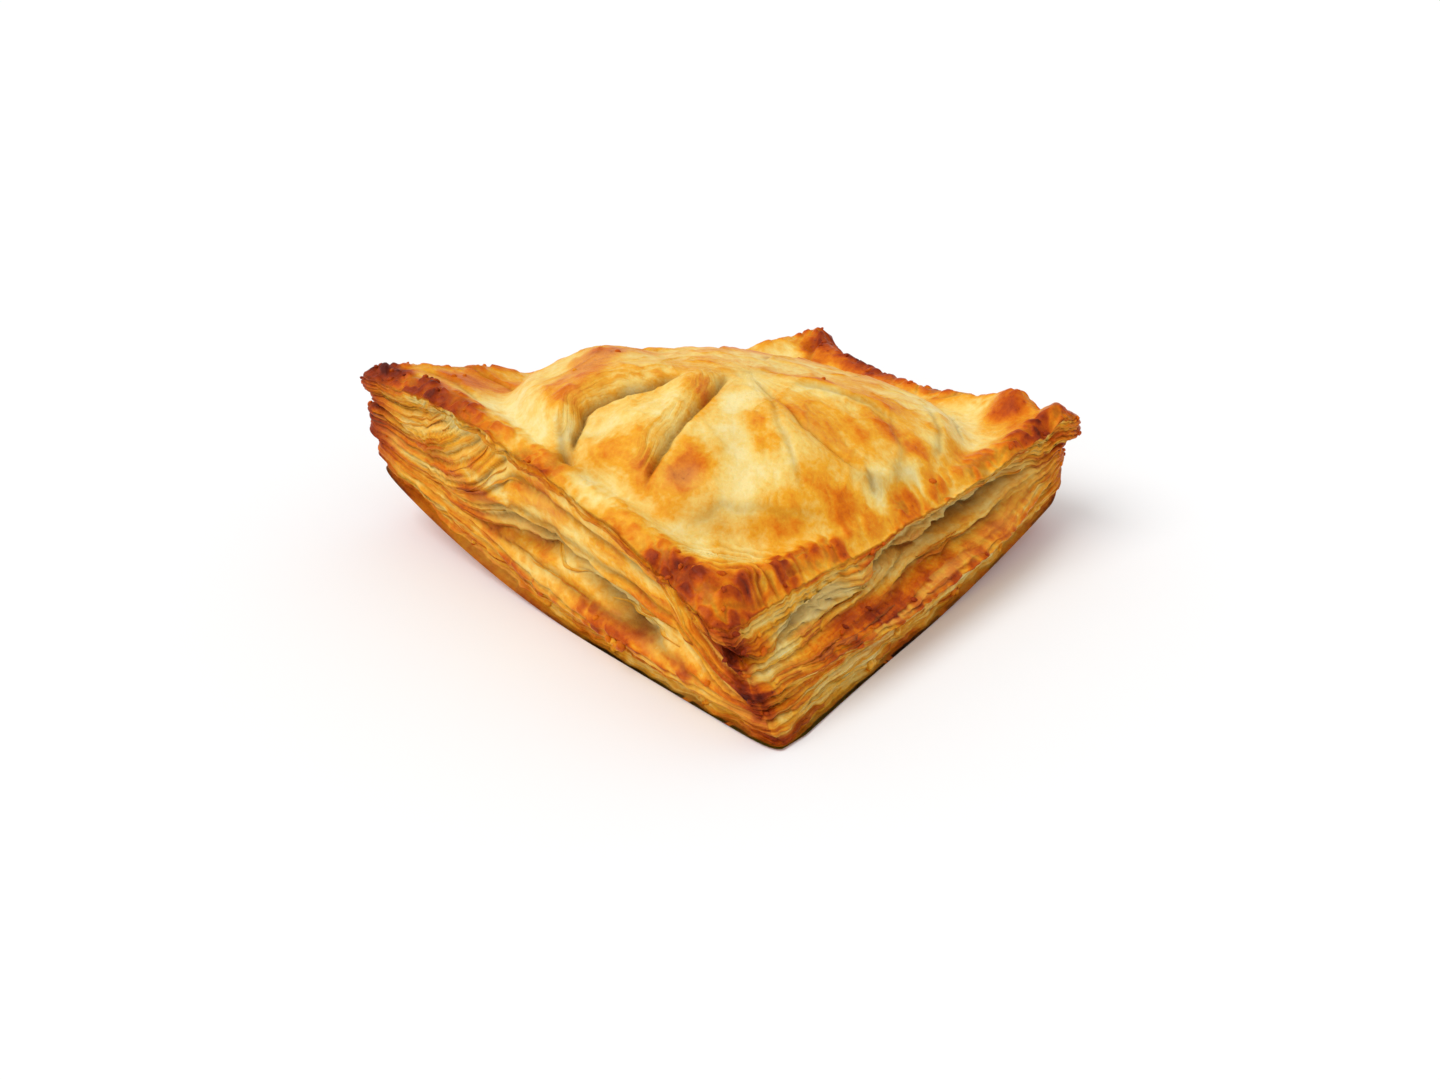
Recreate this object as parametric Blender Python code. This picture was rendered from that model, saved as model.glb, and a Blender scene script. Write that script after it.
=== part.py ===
"""A square puff-pastry turnover, domed over its filling, as one closed solid.

Run it with: blender --background --python part.py
Units are metres, +Z is up, and the puff rests on its flat underside at z = 0.
Seen from above, its four corners are named left (-X -Y), front (+X -Y), right (+X +Y) and
back (-X +Y). Each side runs from one corner to the next in that order and has the name of
the corner it starts from.
"""

import math
from typing import NamedTuple

import bmesh
import bpy
import numpy as np

# Corners of the upper sheet's edge: x, y and the height of the edge there.
SHEET_CORNERS = {
    "left": (-0.0578, -0.0573, 0.0380),
    "front": (0.0505, -0.0560, 0.0235),
    "right": (0.0500, 0.0515, 0.0295),
    "back": (-0.0350, 0.0605, 0.0192),
}
# Corners of the lower sheet where it turns under: x, y and how far it curls up off the table.
BASE_CORNERS = {
    "left": (-0.0586, -0.0558, 0.0150),
    "front": (0.0632, -0.0530, 0.0006),
    "right": (0.0490, 0.0520, 0.0105),
    "back": (-0.0375, 0.0590, 0.0030),
}
CORNER_ORDER = ("left", "front", "right", "back")
CORNER_SIGNS = {"left": (-1, -1), "front": (1, -1), "right": (1, 1), "back": (-1, 1)}
INWARD = {"left": (0.0, 1.0), "front": (-1.0, 0.0), "right": (0.0, -1.0), "back": (1.0, 0.0)}
SQUIRCLE_POWER = 24.0  # how square the outline is: the corners round off as it falls
CURL_START = 0.40  # where along the diagonal a base corner leaves the table: 1 is the corner

# Each side's middle: how far its edge draws in, and how far the sheet arches up or sags.
SHEET_DRAWN_IN = {"left": 0.0035, "front": 0.0015, "right": 0.0050, "back": 0.0010}
SHEET_ARCH = {"left": 0.0050, "front": -0.0005, "right": -0.0042, "back": -0.0038}
BASE_DRAWN_IN = {"left": 0.0000, "front": 0.0018, "right": 0.0020, "back": 0.0010}

# The filling lifts the top into a dome, whose crown leans towards the front corner.
DOME_CENTRE = (0.0005, -0.0020)
DOME_LEAN = (0.0060, -0.0080)
DOME_RADIUS = 0.0465
DOME_POWER = 2.5
DOME_HEIGHT = 0.0138
DOME_FOOT = 0.14  # share of the radius over which the foot eases into the brim

# The brim round the dome: a dip at the dome's foot, a low crest, and an edge that rolls over.
BRIM_DIP = 0.0018
BRIM_DIP_WIDTH = 0.18  # share of the dome's radius
CREST_HEIGHT = 0.0010
CREST_LEVEL = 0.91
CREST_WIDTH = 0.09
EDGE_ROLL = 0.0018
EDGE_ROLL_START = 0.93


class Swelling(NamedTuple):
    """A round rise (or, with a negative height, a hollow) of the upper sheet."""

    x: float
    y: float
    radius: float
    height: float


SWELLINGS = (
    Swelling(-0.0230, -0.0200, 0.0140, 0.0026),  # shoulder behind the side cut
    Swelling(0.0270, -0.0130, 0.0120, 0.0012),  # fullness over the filling, in front
    Swelling(0.0340, 0.0455, 0.0090, 0.0022),  # first lobe of the right corner
    Swelling(0.0475, 0.0460, 0.0070, 0.0012),  # second lobe
    Swelling(0.0415, 0.0500, 0.0045, -0.0022),  # notch between the lobes
    Swelling(-0.0300, 0.0560, 0.0080, 0.0014),  # knob of the back corner
)


class Cut(NamedTuple):
    """A knife cut or a crease: its foot in plan, and the step of the crust across it.

    The crust on the right of the points, followed in order, is the higher side.
    """

    points: tuple
    lip: float
    drop: float


CUTS = (
    Cut(((0.0060, -0.0100), (0.0102, -0.0205), (0.0132, -0.0320), (0.0178, -0.0445)), 0.0008, 0.0020),
    Cut(
        ((0.0030, -0.0190), (-0.0010, -0.0250), (-0.0054, -0.0315), (-0.0060, -0.0380), (0.0005, -0.0475)),
        0.0014,
        0.0030,
    ),
    Cut(((0.009, -0.007), (0.019, -0.010), (0.028, -0.012), (0.040, -0.008)), 0.0005, 0.0010),
    Cut(((0.008, -0.004), (0.016, 0.008), (0.027, 0.020)), 0.0006, 0.0010),
)
CUT_FACE = 0.0042  # width of a cut's torn face, seen from above
CUT_REACH = 0.0085  # how far a cut disturbs the crust to each side
CUT_TAPER = 0.22  # share of a cut's length over which its ends close


class Fold(NamedTuple):
    """A mouth that opens between the leaves of a side wall, or a lip that stands out of it.

    share runs along the side from 0 to 1, and level from 0 at the sheet's edge to 1 at the
    base. tilt is the change of level along the side. out is negative for a mouth.
    """

    side: str
    share: float
    level: float
    half_share: float
    half_level: float
    tilt: float
    out: float


FOLDS = (
    Fold("left", 0.30, 0.15, 0.26, 0.11, 0.00, -0.0014),
    Fold("left", 0.44, 0.51, 0.15, 0.11, -0.50, -0.0036),
    Fold("left", 0.68, 0.55, 0.12, 0.12, 0.90, -0.0036),
    Fold("left", 0.66, 0.74, 0.34, 0.15, -0.12, 0.0024),
    Fold("front", 0.60, 0.25, 0.30, 0.18, 0.05, -0.0070),
    Fold("front", 0.22, 0.25, 0.14, 0.11, -0.30, -0.0024),
    Fold("front", 0.50, 0.56, 0.44, 0.15, 0.05, 0.0048),
    Fold("right", 0.45, 0.40, 0.32, 0.14, 0.10, -0.0050),
    Fold("right", 0.50, 0.67, 0.42, 0.17, 0.00, 0.0034),
    Fold("back", 0.60, 0.48, 0.28, 0.13, -0.20, -0.0044),
    Fold("back", 0.25, 0.35, 0.16, 0.10, 0.50, -0.0024),
    Fold("back", 0.52, 0.74, 0.40, 0.16, 0.00, 0.0028),
)

# Bunched leaves between the sheet's edge and the base. They slant up to the sheet's edge on the
# way along a side: by how much, and over which share of the side.
LEAF_SLANT = {
    "left": (0.57, 0.15, 0.45),
    "front": (0.10, 0.10, 0.50),
    "right": (0.30, 0.20, 0.60),
    "back": (-0.25, 0.20, 0.60),
}
SLANT_DEPTH = 0.75  # level below which the leaves lie flat
SLANT_END = 0.82  # share of a side after which its leaves gather again at the next corner
BUNCH_COUNT = 4
BUNCH_HEIGHT = 0.0007
BUNCH_WAVES = 1.5  # times that a bunch swells and thins along each side
BUNCH_THINNING = 0.8  # how much of its height a bunch loses where it thins
TUCK = 0.0014  # how far the wall's foot rounds under
TUCK_START = 0.80

CELLS_PER_SIDE = 44
WALL_ROWS = 16
BASE_RINGS = (0.90, 0.76, 0.58)


def smooth_step(low, high, value):
    """0 at low and before it, 1 at high and past it, and an S-curve between."""
    share = np.clip((value - low) / (high - low), 0.0, 1.0)
    return share * share * (3.0 - 2.0 * share)


def bump(value):
    """A round bump: 1 at 0, and 0 from -1 and 1 outward."""
    return np.clip(1.0 - np.asarray(value) ** 2, 0.0, None) ** 2


def plateau(value):
    """A flat-topped bump: near 1 about 0, and 0 from -1 and 1 outward."""
    return np.clip(1.0 - np.asarray(value) ** 4, 0.0, None) ** 2


def bilinear(corners, p, q):
    """The point at p, q, each from -1 to 1, of the quadrilateral with these four corners."""
    left, front, right, back = (np.array(corners[name]) for name in CORNER_ORDER)
    p, q = p[..., None], q[..., None]
    near = left * (1 - p) + front * (1 + p)
    far = back * (1 - p) + right * (1 + p)
    return (near * (1 - q) + far * (1 + q)) / 4.0


def rounded(p, q):
    """Moves a square's points so that its corners round off, more towards its outline."""
    level = np.maximum(np.abs(p), np.abs(q))
    safe = np.maximum(level, 1e-9)
    across = np.abs(p / safe) ** SQUIRCLE_POWER + np.abs(q / safe) ** SQUIRCLE_POWER
    scale = 1.0 + (np.maximum(across, 1.0) ** (-1.0 / SQUIRCLE_POWER) - 1.0) * level**4
    return p * scale, q * scale


def side_weights(p, q):
    """How strongly each side's own middle acts at p, q."""
    return {
        "left": (1 - p**2) * ((1 - q) / 2) ** 2,
        "front": (1 - q**2) * ((1 + p) / 2) ** 2,
        "right": (1 - p**2) * ((1 + q) / 2) ** 2,
        "back": (1 - q**2) * ((1 - p) / 2) ** 2,
    }


def drawn_in(points, p, q, amounts):
    """Pulls each side's middle towards the centre, in plan."""
    weights = side_weights(p, q)
    for side, amount in amounts.items():
        for axis in (0, 1):
            points[..., axis] += INWARD[side][axis] * amount * weights[side]
    return points


def curve_reading(points, x, y):
    """Distance to a line through the points, signed, positive on its right, and the share along it."""
    points = np.array(points)
    lengths = np.linalg.norm(np.diff(points, axis=0), axis=1)
    starts = np.concatenate([[0.0], np.cumsum(lengths)])
    nearest = np.full(np.shape(x), np.inf)
    signed = np.zeros(np.shape(x))
    along = np.zeros(np.shape(x))
    for index, length in enumerate(lengths):
        direction = (points[index + 1] - points[index]) / length
        dx, dy = x - points[index][0], y - points[index][1]
        share = np.clip((dx * direction[0] + dy * direction[1]) / length, 0.0, 1.0)
        gap = np.hypot(dx - share * length * direction[0], dy - share * length * direction[1])
        closer = gap < nearest
        side = np.sign(dx * direction[1] - dy * direction[0])
        nearest = np.where(closer, gap, nearest)
        signed = np.where(closer, gap * side, signed)
        along = np.where(closer, (starts[index] + share * length) / starts[-1], along)
    return signed, along


def cut_relief(cut, x, y):
    """Height that a cut adds: a hollow at its foot, a torn face, and a raised lip above it."""
    signed, along = curve_reading(cut.points, x, y)
    ends = smooth_step(0.0, CUT_TAPER, along) * smooth_step(1.0, 1.0 - CUT_TAPER, along)
    hollow = -cut.drop * np.exp(-((np.minimum(signed, 0.0) / CUT_REACH) ** 2))
    lip = cut.lip * np.exp(-((np.maximum(signed - CUT_FACE, 0.0) / CUT_REACH) ** 2))
    face = smooth_step(0.0, CUT_FACE, signed)
    return ends * (hollow * (1 - face) + lip * face)


def outline_reach(x, y):
    """Distance from the dome's centre, as a share of its radius in that direction."""
    across = np.abs(x - DOME_CENTRE[0]) ** DOME_POWER + np.abs(y - DOME_CENTRE[1]) ** DOME_POWER
    return across ** (1.0 / DOME_POWER) / DOME_RADIUS


def dome_reach(x, y):
    """0 at the dome's crown, which leans away from the centre, and 1 round its foot."""
    lean = np.clip(1.0 - outline_reach(x, y) ** 2, 0.0, None)
    return outline_reach(x - DOME_LEAN[0] * lean, y - DOME_LEAN[1] * lean)


def sheet_points(p, q):
    """Points of the upper sheet for a square's p and q, each from -1 to 1."""
    level = np.maximum(np.abs(p), np.abs(q))
    p, q = rounded(p, q)
    points = drawn_in(bilinear(SHEET_CORNERS, p, q), p, q, SHEET_DRAWN_IN)
    for side, weight in side_weights(p, q).items():
        points[..., 2] += SHEET_ARCH[side] * weight
    x, y = points[..., 0], points[..., 1]
    reach = dome_reach(x, y)
    inside = np.clip(1.0 - reach, 0.0, 1.0)
    on_dome = smooth_step(0.0, DOME_FOOT, inside)
    height = DOME_HEIGHT * (1.0 - (1.0 - inside) ** 2) * on_dome
    height -= BRIM_DIP * bump((reach - 1.0) / BRIM_DIP_WIDTH)
    for cut in CUTS:
        height += cut_relief(cut, x, y) * on_dome
    for swelling in SWELLINGS:
        distance = np.hypot(x - swelling.x, y - swelling.y)
        height += swelling.height * bump(distance / swelling.radius)
    height += CREST_HEIGHT * bump((level - CREST_LEVEL) / CREST_WIDTH)
    points[..., 2] += height - EDGE_ROLL * smooth_step(EDGE_ROLL_START, 1.0, level)
    return points


def base_points(p, q):
    """Points of the underside for a square's p and q, each from -1 to 1."""
    p, q = rounded(p, q)
    points = drawn_in(bilinear(BASE_CORNERS, p, q), p, q, BASE_DRAWN_IN)
    points[..., 2] = 0.0
    for name, (sign_p, sign_q) in CORNER_SIGNS.items():
        nearness = (sign_p * p + sign_q * q) / 2.0
        curl = np.clip((nearness - CURL_START) / (1.0 - CURL_START), 0.0, None)
        points[..., 2] += BASE_CORNERS[name][2] * curl**2
    return points


def outline(cells):
    """p and q round a square's outline, counterclockwise from its left corner, with side and share."""
    share = np.arange(cells) / cells
    run = 2.0 * share - 1.0
    full = np.ones(cells)
    p = np.concatenate([run, full, -run, -full])
    q = np.concatenate([-full, run, full, -run])
    side = np.repeat(np.arange(4), cells)
    return p, q, side, np.tile(share, 4)


def outward(points):
    """The outline's outward direction in plan at each of its points, smoothed over neighbours."""
    along = np.roll(points, -2, axis=0) - np.roll(points, 2, axis=0)
    normal = np.stack([along[:, 1], -along[:, 0]], axis=1)
    return normal / np.linalg.norm(normal, axis=1, keepdims=True)


def leaf_level(side, share, level):
    """The level at which a leaf through this place leaves the corner that its side starts from."""
    slant = np.zeros(np.shape(share))
    for index, name in enumerate(CORNER_ORDER):
        amount, start, end = LEAF_SLANT[name]
        rise = amount * smooth_step(start, end, share) * smooth_step(1.0, SLANT_END, share)
        slant = np.where(side == index, rise, slant)
    return level + slant * np.clip(1.0 - level / SLANT_DEPTH, 0.0, 1.0)


def wall_offset(side, share, level):
    """How far the wall stands out from the straight line between sheet and base."""
    bunch = np.sin(2 * math.pi * BUNCH_COUNT * leaf_level(side, share, level))
    thinning = 0.5 - 0.5 * np.sin(2 * math.pi * BUNCH_WAVES * (side + share))
    offset = BUNCH_HEIGHT * (1.0 - BUNCH_THINNING * thinning) * bunch
    for fold in FOLDS:
        along = (share - fold.share) / fold.half_share
        across = (level - fold.level - fold.tilt * (share - fold.share)) / fold.half_level
        here = side == CORNER_ORDER.index(fold.side)
        offset += np.where(here, fold.out * plateau(along) * bump(across), 0.0)
    return offset - TUCK * smooth_step(TUCK_START, 1.0, level) ** 2


def wall_rows(cells, rows):
    """The wall's rows of points, from just under the sheet's edge down to the base's outline."""
    p, q, side, share = outline(cells)
    top, foot = sheet_points(p, q), base_points(p, q)
    normal = outward(top)
    made = []
    for row in range(1, rows + 1):
        level = row / rows
        points = top * (1 - level) + foot * level
        points[:, :2] += normal * wall_offset(side, share, level)[:, None]
        made.append(points)
    return made


def puff_mesh(cells, rows):
    """The whole puff as one bmesh: upper sheet, wall and underside."""
    mesh = bmesh.new()
    steps = np.linspace(-1.0, 1.0, cells + 1)
    p, q = np.meshgrid(steps, steps)
    sheet = sheet_points(p, q)
    grid = [[mesh.verts.new(point) for point in line] for line in sheet]
    for j in range(cells):
        for i in range(cells):
            mesh.faces.new((grid[j][i], grid[j][i + 1], grid[j + 1][i + 1], grid[j + 1][i]))
    ring = [grid[0][i] for i in range(cells)]
    ring += [grid[j][cells] for j in range(cells)]
    ring += [grid[cells][cells - i] for i in range(cells)]
    ring += [grid[cells - j][0] for j in range(cells)]
    p, q, _, _ = outline(cells)
    lower = wall_rows(cells, rows) + [base_points(p * scale, q * scale) for scale in BASE_RINGS]
    for points in lower:
        below = [mesh.verts.new(point) for point in points]
        for index, vertex in enumerate(ring):
            after = (index + 1) % len(ring)
            mesh.faces.new((vertex, below[index], below[after], ring[after]))
        ring = below
    mesh.faces.new(tuple(reversed(ring)))
    bmesh.ops.recalc_face_normals(mesh, faces=mesh.faces)
    return mesh


def pastry_material():
    """Golden, egg-washed puff pastry."""
    material = bpy.data.materials.new("baked_pastry")
    material.use_nodes = True
    shader = material.node_tree.nodes["Principled BSDF"]
    shader.inputs["Base Color"].default_value = (0.72, 0.40, 0.11, 1.0)
    shader.inputs["Roughness"].default_value = 0.5
    return material


def build_puff():
    """Makes the puff's object, smooth-shaded, with its material."""
    mesh = bpy.data.meshes.new("puff")
    shape = puff_mesh(CELLS_PER_SIDE, WALL_ROWS)
    shape.to_mesh(mesh)
    shape.free()
    mesh.shade_smooth()
    mesh.materials.append(pastry_material())
    puff = bpy.data.objects.new("puff", mesh)
    bpy.context.scene.collection.objects.link(puff)
    return puff


def main():
    """Clears the scene and builds the puff."""
    for old in list(bpy.data.objects):
        bpy.data.objects.remove(old)
    build_puff()


main()
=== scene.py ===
"""Dresses a baked puff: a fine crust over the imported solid, its leaves and flakes, and a plain studio.

Lengths are metres in the frame of the solid: +Z is up and the underside lies at z = 0. Seen from
above, the corners are named left (-X -Y), front (+X -Y), right (+X +Y) and back (-X +Y), and each
side runs from the corner whose name it has to the next in that order. p and q, each from -1 to 1,
name a place of the upper sheet or of the underside: p grows along X and q along Y.
"""

import logging
import math
from dataclasses import dataclass, field
from enum import Enum
from typing import Any, NamedTuple, Sequence

import bpy
import numpy as np
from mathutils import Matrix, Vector


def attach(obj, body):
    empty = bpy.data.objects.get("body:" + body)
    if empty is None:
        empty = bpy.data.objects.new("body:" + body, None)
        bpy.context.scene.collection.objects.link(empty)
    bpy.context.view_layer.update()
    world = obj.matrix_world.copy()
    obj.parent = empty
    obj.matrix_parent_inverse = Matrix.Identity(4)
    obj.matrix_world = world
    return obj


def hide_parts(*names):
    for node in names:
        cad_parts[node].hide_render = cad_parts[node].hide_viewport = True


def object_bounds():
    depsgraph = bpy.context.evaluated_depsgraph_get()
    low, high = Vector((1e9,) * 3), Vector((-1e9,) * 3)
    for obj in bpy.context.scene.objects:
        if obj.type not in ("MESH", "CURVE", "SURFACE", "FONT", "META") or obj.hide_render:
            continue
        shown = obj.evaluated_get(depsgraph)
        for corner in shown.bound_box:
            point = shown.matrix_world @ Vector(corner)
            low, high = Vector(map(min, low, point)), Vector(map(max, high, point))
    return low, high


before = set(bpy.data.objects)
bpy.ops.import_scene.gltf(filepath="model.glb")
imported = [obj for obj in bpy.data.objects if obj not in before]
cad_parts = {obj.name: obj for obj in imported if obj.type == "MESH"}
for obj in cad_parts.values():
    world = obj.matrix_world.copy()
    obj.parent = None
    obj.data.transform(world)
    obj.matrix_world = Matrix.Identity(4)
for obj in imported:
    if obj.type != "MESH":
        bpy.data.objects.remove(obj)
CAD_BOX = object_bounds()
LOG = logging.getLogger("puff")
Array = np.ndarray


class Side(Enum):
    """A side of the puff, with the corner that it starts from."""

    LEFT = 0
    FRONT = 1
    RIGHT = 2
    BACK = 3


CORNER_SIGNS = ((-1, -1), (1, -1), (1, 1), (-1, 1))
INWARD = ((0.0, 1.0), (-1.0, 0.0), (0.0, -1.0), (1.0, 0.0))


def smooth_step(low: float, high: float, value: Array) -> Array:
    """0 at low and before it, 1 at high and past it, and an S-curve between."""
    share = np.clip((value - low) / (high - low), 0.0, 1.0)
    return share * share * (3.0 - 2.0 * share)


def bump(value: Array) -> Array:
    """A round bump: 1 at 0, and 0 from -1 and 1 outward."""
    return np.clip(1.0 - np.asarray(value) ** 2, 0.0, None) ** 2


def bell(value: Array) -> Array:
    """A bell: 1 at 0, and about a third of that at -1 and 1."""
    return np.exp(-(value**2))


def tapered(taper: float, along: Array) -> Array:
    """1 along the middle of a run from 0 to 1, easing to 0 over this share of it at each end."""
    return smooth_step(0.0, taper, along) * smooth_step(1.0, 1.0 - taper, along)


def plateau(value: Array) -> Array:
    """A flat-topped bump: near 1 about 0, and 0 from -1 and 1 outward."""
    return np.clip(1.0 - np.asarray(value) ** 4, 0.0, None) ** 2


class Pattern(NamedTuple):
    """A pattern of noise in plan: its pitch, its own layer of the noise, and how many octaves it has."""

    pitch: float
    layer: float
    octaves: int = 1


class Noise:
    """Smooth seeded noise in three dimensions, from about -1 to 1."""

    def __init__(self, seed: int, cells: int = 32) -> None:
        """Draws the lattice of values.

        Args:
            seed: The seed of the draw.
            cells: How many cells the lattice has each way before it repeats.
        """
        self.cells = cells
        self.values = np.random.default_rng(seed).uniform(-1.0, 1.0, (cells, cells, cells))

    def _single(self, points: Array) -> Array:
        """One octave of the noise.

        Args:
            points: The places, in lattice cells.

        Returns:
            One value for each place.
        """
        low = np.floor(points).astype(int)
        part = points - low
        part = part * part * (3.0 - 2.0 * part)
        total = np.zeros(points.shape[:-1])
        for corner in range(8):
            step = np.array([corner & 1, corner >> 1 & 1, corner >> 2 & 1])
            index = (low + step) % self.cells
            weight = np.prod(np.where(step, part, 1.0 - part), axis=-1)
            total += weight * self.values[index[..., 0], index[..., 1], index[..., 2]]
        return total

    def at(self, x: Array, y: Array, z: Array, octaves: int = 1) -> Array:
        """Noise at places given in lattice cells.

        Args:
            x: First coordinate.
            y: Second coordinate.
            z: Third coordinate.
            octaves: How many octaves are summed, each half as strong and twice as fine.

        Returns:
            One value for each place.
        """
        points = np.stack(np.broadcast_arrays(x, y, z), axis=-1).astype(float)
        total = np.zeros(points.shape[:-1])
        for octave in range(octaves):
            total += self._single(points * 2.0**octave + 5.3 * octave) / 2.0**octave
        return total

    def over(self, pattern: Pattern, x: Array, y: Array) -> Array:
        """A pattern's noise at places in plan."""
        return self.at(x / pattern.pitch, y / pattern.pitch, pattern.layer, pattern.octaves)


BROAD = Noise(11)
FINE = Noise(23)


class Swelling(NamedTuple):
    """A round rise of the upper sheet, or a hollow where its height is negative."""

    x: float
    y: float
    radius: float
    height: float


class Cut(NamedTuple):
    """A knife cut or a crease: its foot in plan, and the step of the crust across it.

    The crust on the right of the points, followed in order, is the higher side.
    """

    points: tuple[tuple[float, float], ...]
    lip: float
    drop: float


class Fold(NamedTuple):
    """A mouth between the leaves of a side wall (out is negative), or a lip that stands out of it.

    share runs along the side from 0 to 1, and level from 0 at the sheet's edge to 1 at the base.
    tilt is the change of level along the side.
    """

    side: Side
    share: float
    level: float
    half_share: float
    half_level: float
    tilt: float
    out: float

    def reading(self, share: Array, level: Array) -> Array:
        """How strongly the fold acts at places on its side.

        Args:
            share: The places along the side.
            level: Their levels.

        Returns:
            The strength at each place, from 0 to 1.
        """
        along = (share - self.share) / self.half_share
        across = (level - self.level - self.tilt * (share - self.share)) / self.half_level
        return plateau(along) * bump(across)

    def on_its_side(self, side: Array, share: Array, level: Array) -> Array:
        """The same at places of any side, and 0 on the sides that the fold isn't on."""
        return np.where(side == self.side.value, self.reading(share, level), 0.0)

    @classmethod
    def on(cls, side: Side, *rows: tuple[float, ...]) -> tuple["Fold", ...]:
        """The folds of one side, each given by its other values in order."""
        return tuple(cls(side, *row) for row in rows)


@dataclass(frozen=True)
class PuffForm:
    """The puff's form, the same as the solid's: an upper sheet, a side wall and a flat underside."""

    sheet_corners: tuple[tuple[float, float, float], ...] = (
        (-0.0578, -0.0573, 0.0380),
        (0.0505, -0.0560, 0.0235),
        (0.0500, 0.0515, 0.0295),
        (-0.0350, 0.0605, 0.0192),
    )
    base_corners: tuple[tuple[float, float, float], ...] = (
        (-0.0586, -0.0558, 0.0150),
        (0.0632, -0.0530, 0.0006),
        (0.0490, 0.0520, 0.0105),
        (-0.0375, 0.0590, 0.0030),
    )
    squircle_power: float = 24.0
    curl_start: float = 0.40
    sheet_drawn_in: tuple[float, ...] = (0.0035, 0.0015, 0.0050, 0.0010)
    sheet_arch: tuple[float, ...] = (0.0050, -0.0005, -0.0042, -0.0038)
    base_drawn_in: tuple[float, ...] = (0.0000, 0.0018, 0.0020, 0.0010)
    dome_centre: tuple[float, float] = (0.0005, -0.0020)
    dome_lean: tuple[float, float] = (0.0060, -0.0080)
    dome_radius: float = 0.0465
    dome_power: float = 2.5
    dome_height: float = 0.0138
    dome_foot: float = 0.14
    brim_dip: float = 0.0018
    brim_dip_width: float = 0.18
    crest_height: float = 0.0010
    crest_level: float = 0.91
    crest_width: float = 0.09
    edge_roll: float = 0.0018
    edge_roll_start: float = 0.93
    swellings: tuple[Swelling, ...] = (
        Swelling(-0.0230, -0.0200, 0.0140, 0.0026),
        Swelling(0.0270, -0.0130, 0.0120, 0.0012),
        Swelling(0.0340, 0.0455, 0.0090, 0.0022),
        Swelling(0.0475, 0.0460, 0.0070, 0.0012),
        Swelling(0.0415, 0.0500, 0.0045, -0.0022),
        Swelling(-0.0300, 0.0560, 0.0080, 0.0014),
    )
    cuts: tuple[Cut, ...] = (
        Cut(((0.0060, -0.0100), (0.0102, -0.0205), (0.0132, -0.0320), (0.0178, -0.0445)), 0.0008, 0.0020),
        Cut(
            (
                (0.0030, -0.0190),
                (-0.0010, -0.0250),
                (-0.0054, -0.0315),
                (-0.0060, -0.0380),
                (0.0005, -0.0475),
            ),
            0.0014,
            0.0030,
        ),
        Cut(((0.009, -0.007), (0.019, -0.010), (0.028, -0.012), (0.040, -0.008)), 0.0005, 0.0010),
        Cut(((0.008, -0.004), (0.016, 0.008), (0.027, 0.020)), 0.0006, 0.0010),
    )
    cut_face: float = 0.0042
    cut_reach: float = 0.0085
    cut_steepness: float = 1.7
    cut_taper: float = 0.22
    folds: tuple[Fold, ...] = (
        *Fold.on(
            Side.LEFT,
            (0.30, 0.15, 0.26, 0.11, 0.00, -0.0014),
            (0.44, 0.51, 0.15, 0.11, -0.50, -0.0036),
            (0.68, 0.55, 0.12, 0.12, 0.90, -0.0036),
            (0.66, 0.74, 0.34, 0.15, -0.12, 0.0024),
        ),
        *Fold.on(
            Side.FRONT,
            (0.60, 0.25, 0.30, 0.18, 0.05, -0.0070),
            (0.22, 0.25, 0.14, 0.11, -0.30, -0.0024),
            (0.50, 0.56, 0.44, 0.15, 0.05, 0.0048),
        ),
        *Fold.on(
            Side.RIGHT,
            (0.45, 0.40, 0.32, 0.14, 0.10, -0.0050),
            (0.50, 0.67, 0.42, 0.17, 0.00, 0.0034),
        ),
        *Fold.on(
            Side.BACK,
            (0.60, 0.48, 0.28, 0.13, -0.20, -0.0044),
            (0.25, 0.35, 0.16, 0.10, 0.50, -0.0024),
            (0.52, 0.74, 0.40, 0.16, 0.00, 0.0028),
        ),
    )
    leaf_slant: tuple[tuple[float, float, float], ...] = (
        (0.57, 0.15, 0.45),
        (0.10, 0.10, 0.50),
        (0.30, 0.20, 0.60),
        (-0.25, 0.20, 0.60),
    )
    slant_depth: float = 0.75
    slant_end: float = 0.82
    bunch_count: int = 4
    bunch_height: float = 0.0007
    bunch_waves: float = 1.5
    bunch_thinning: float = 0.8
    tuck: float = 0.0014
    tuck_start: float = 0.80

    @staticmethod
    def bilinear(corners: Sequence[Sequence[float]], p: Array, q: Array) -> Array:
        """Points of a quadrilateral.

        Args:
            corners: Its left, front, right and back corners.
            p: The points' first coordinate.
            q: Their second coordinate.

        Returns:
            The points.
        """
        left, front, right, back = (np.array(corner) for corner in corners)
        p, q = p[..., None], q[..., None]
        near = left * (1 - p) + front * (1 + p)
        far = back * (1 - p) + right * (1 + p)
        return (near * (1 - q) + far * (1 + q)) / 4.0

    def rounded(self, p: Array, q: Array) -> tuple[Array, Array]:
        """Moves a square's points so that its corners round off, more towards its outline.

        Args:
            p: The points' first coordinate.
            q: Their second coordinate.

        Returns:
            Both coordinates of the moved points.
        """
        level = np.maximum(np.abs(p), np.abs(q))
        safe = np.maximum(level, 1e-9)
        across = np.abs(p / safe) ** self.squircle_power + np.abs(q / safe) ** self.squircle_power
        scale = 1.0 + (np.maximum(across, 1.0) ** (-1.0 / self.squircle_power) - 1.0) * level**4
        return p * scale, q * scale

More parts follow.
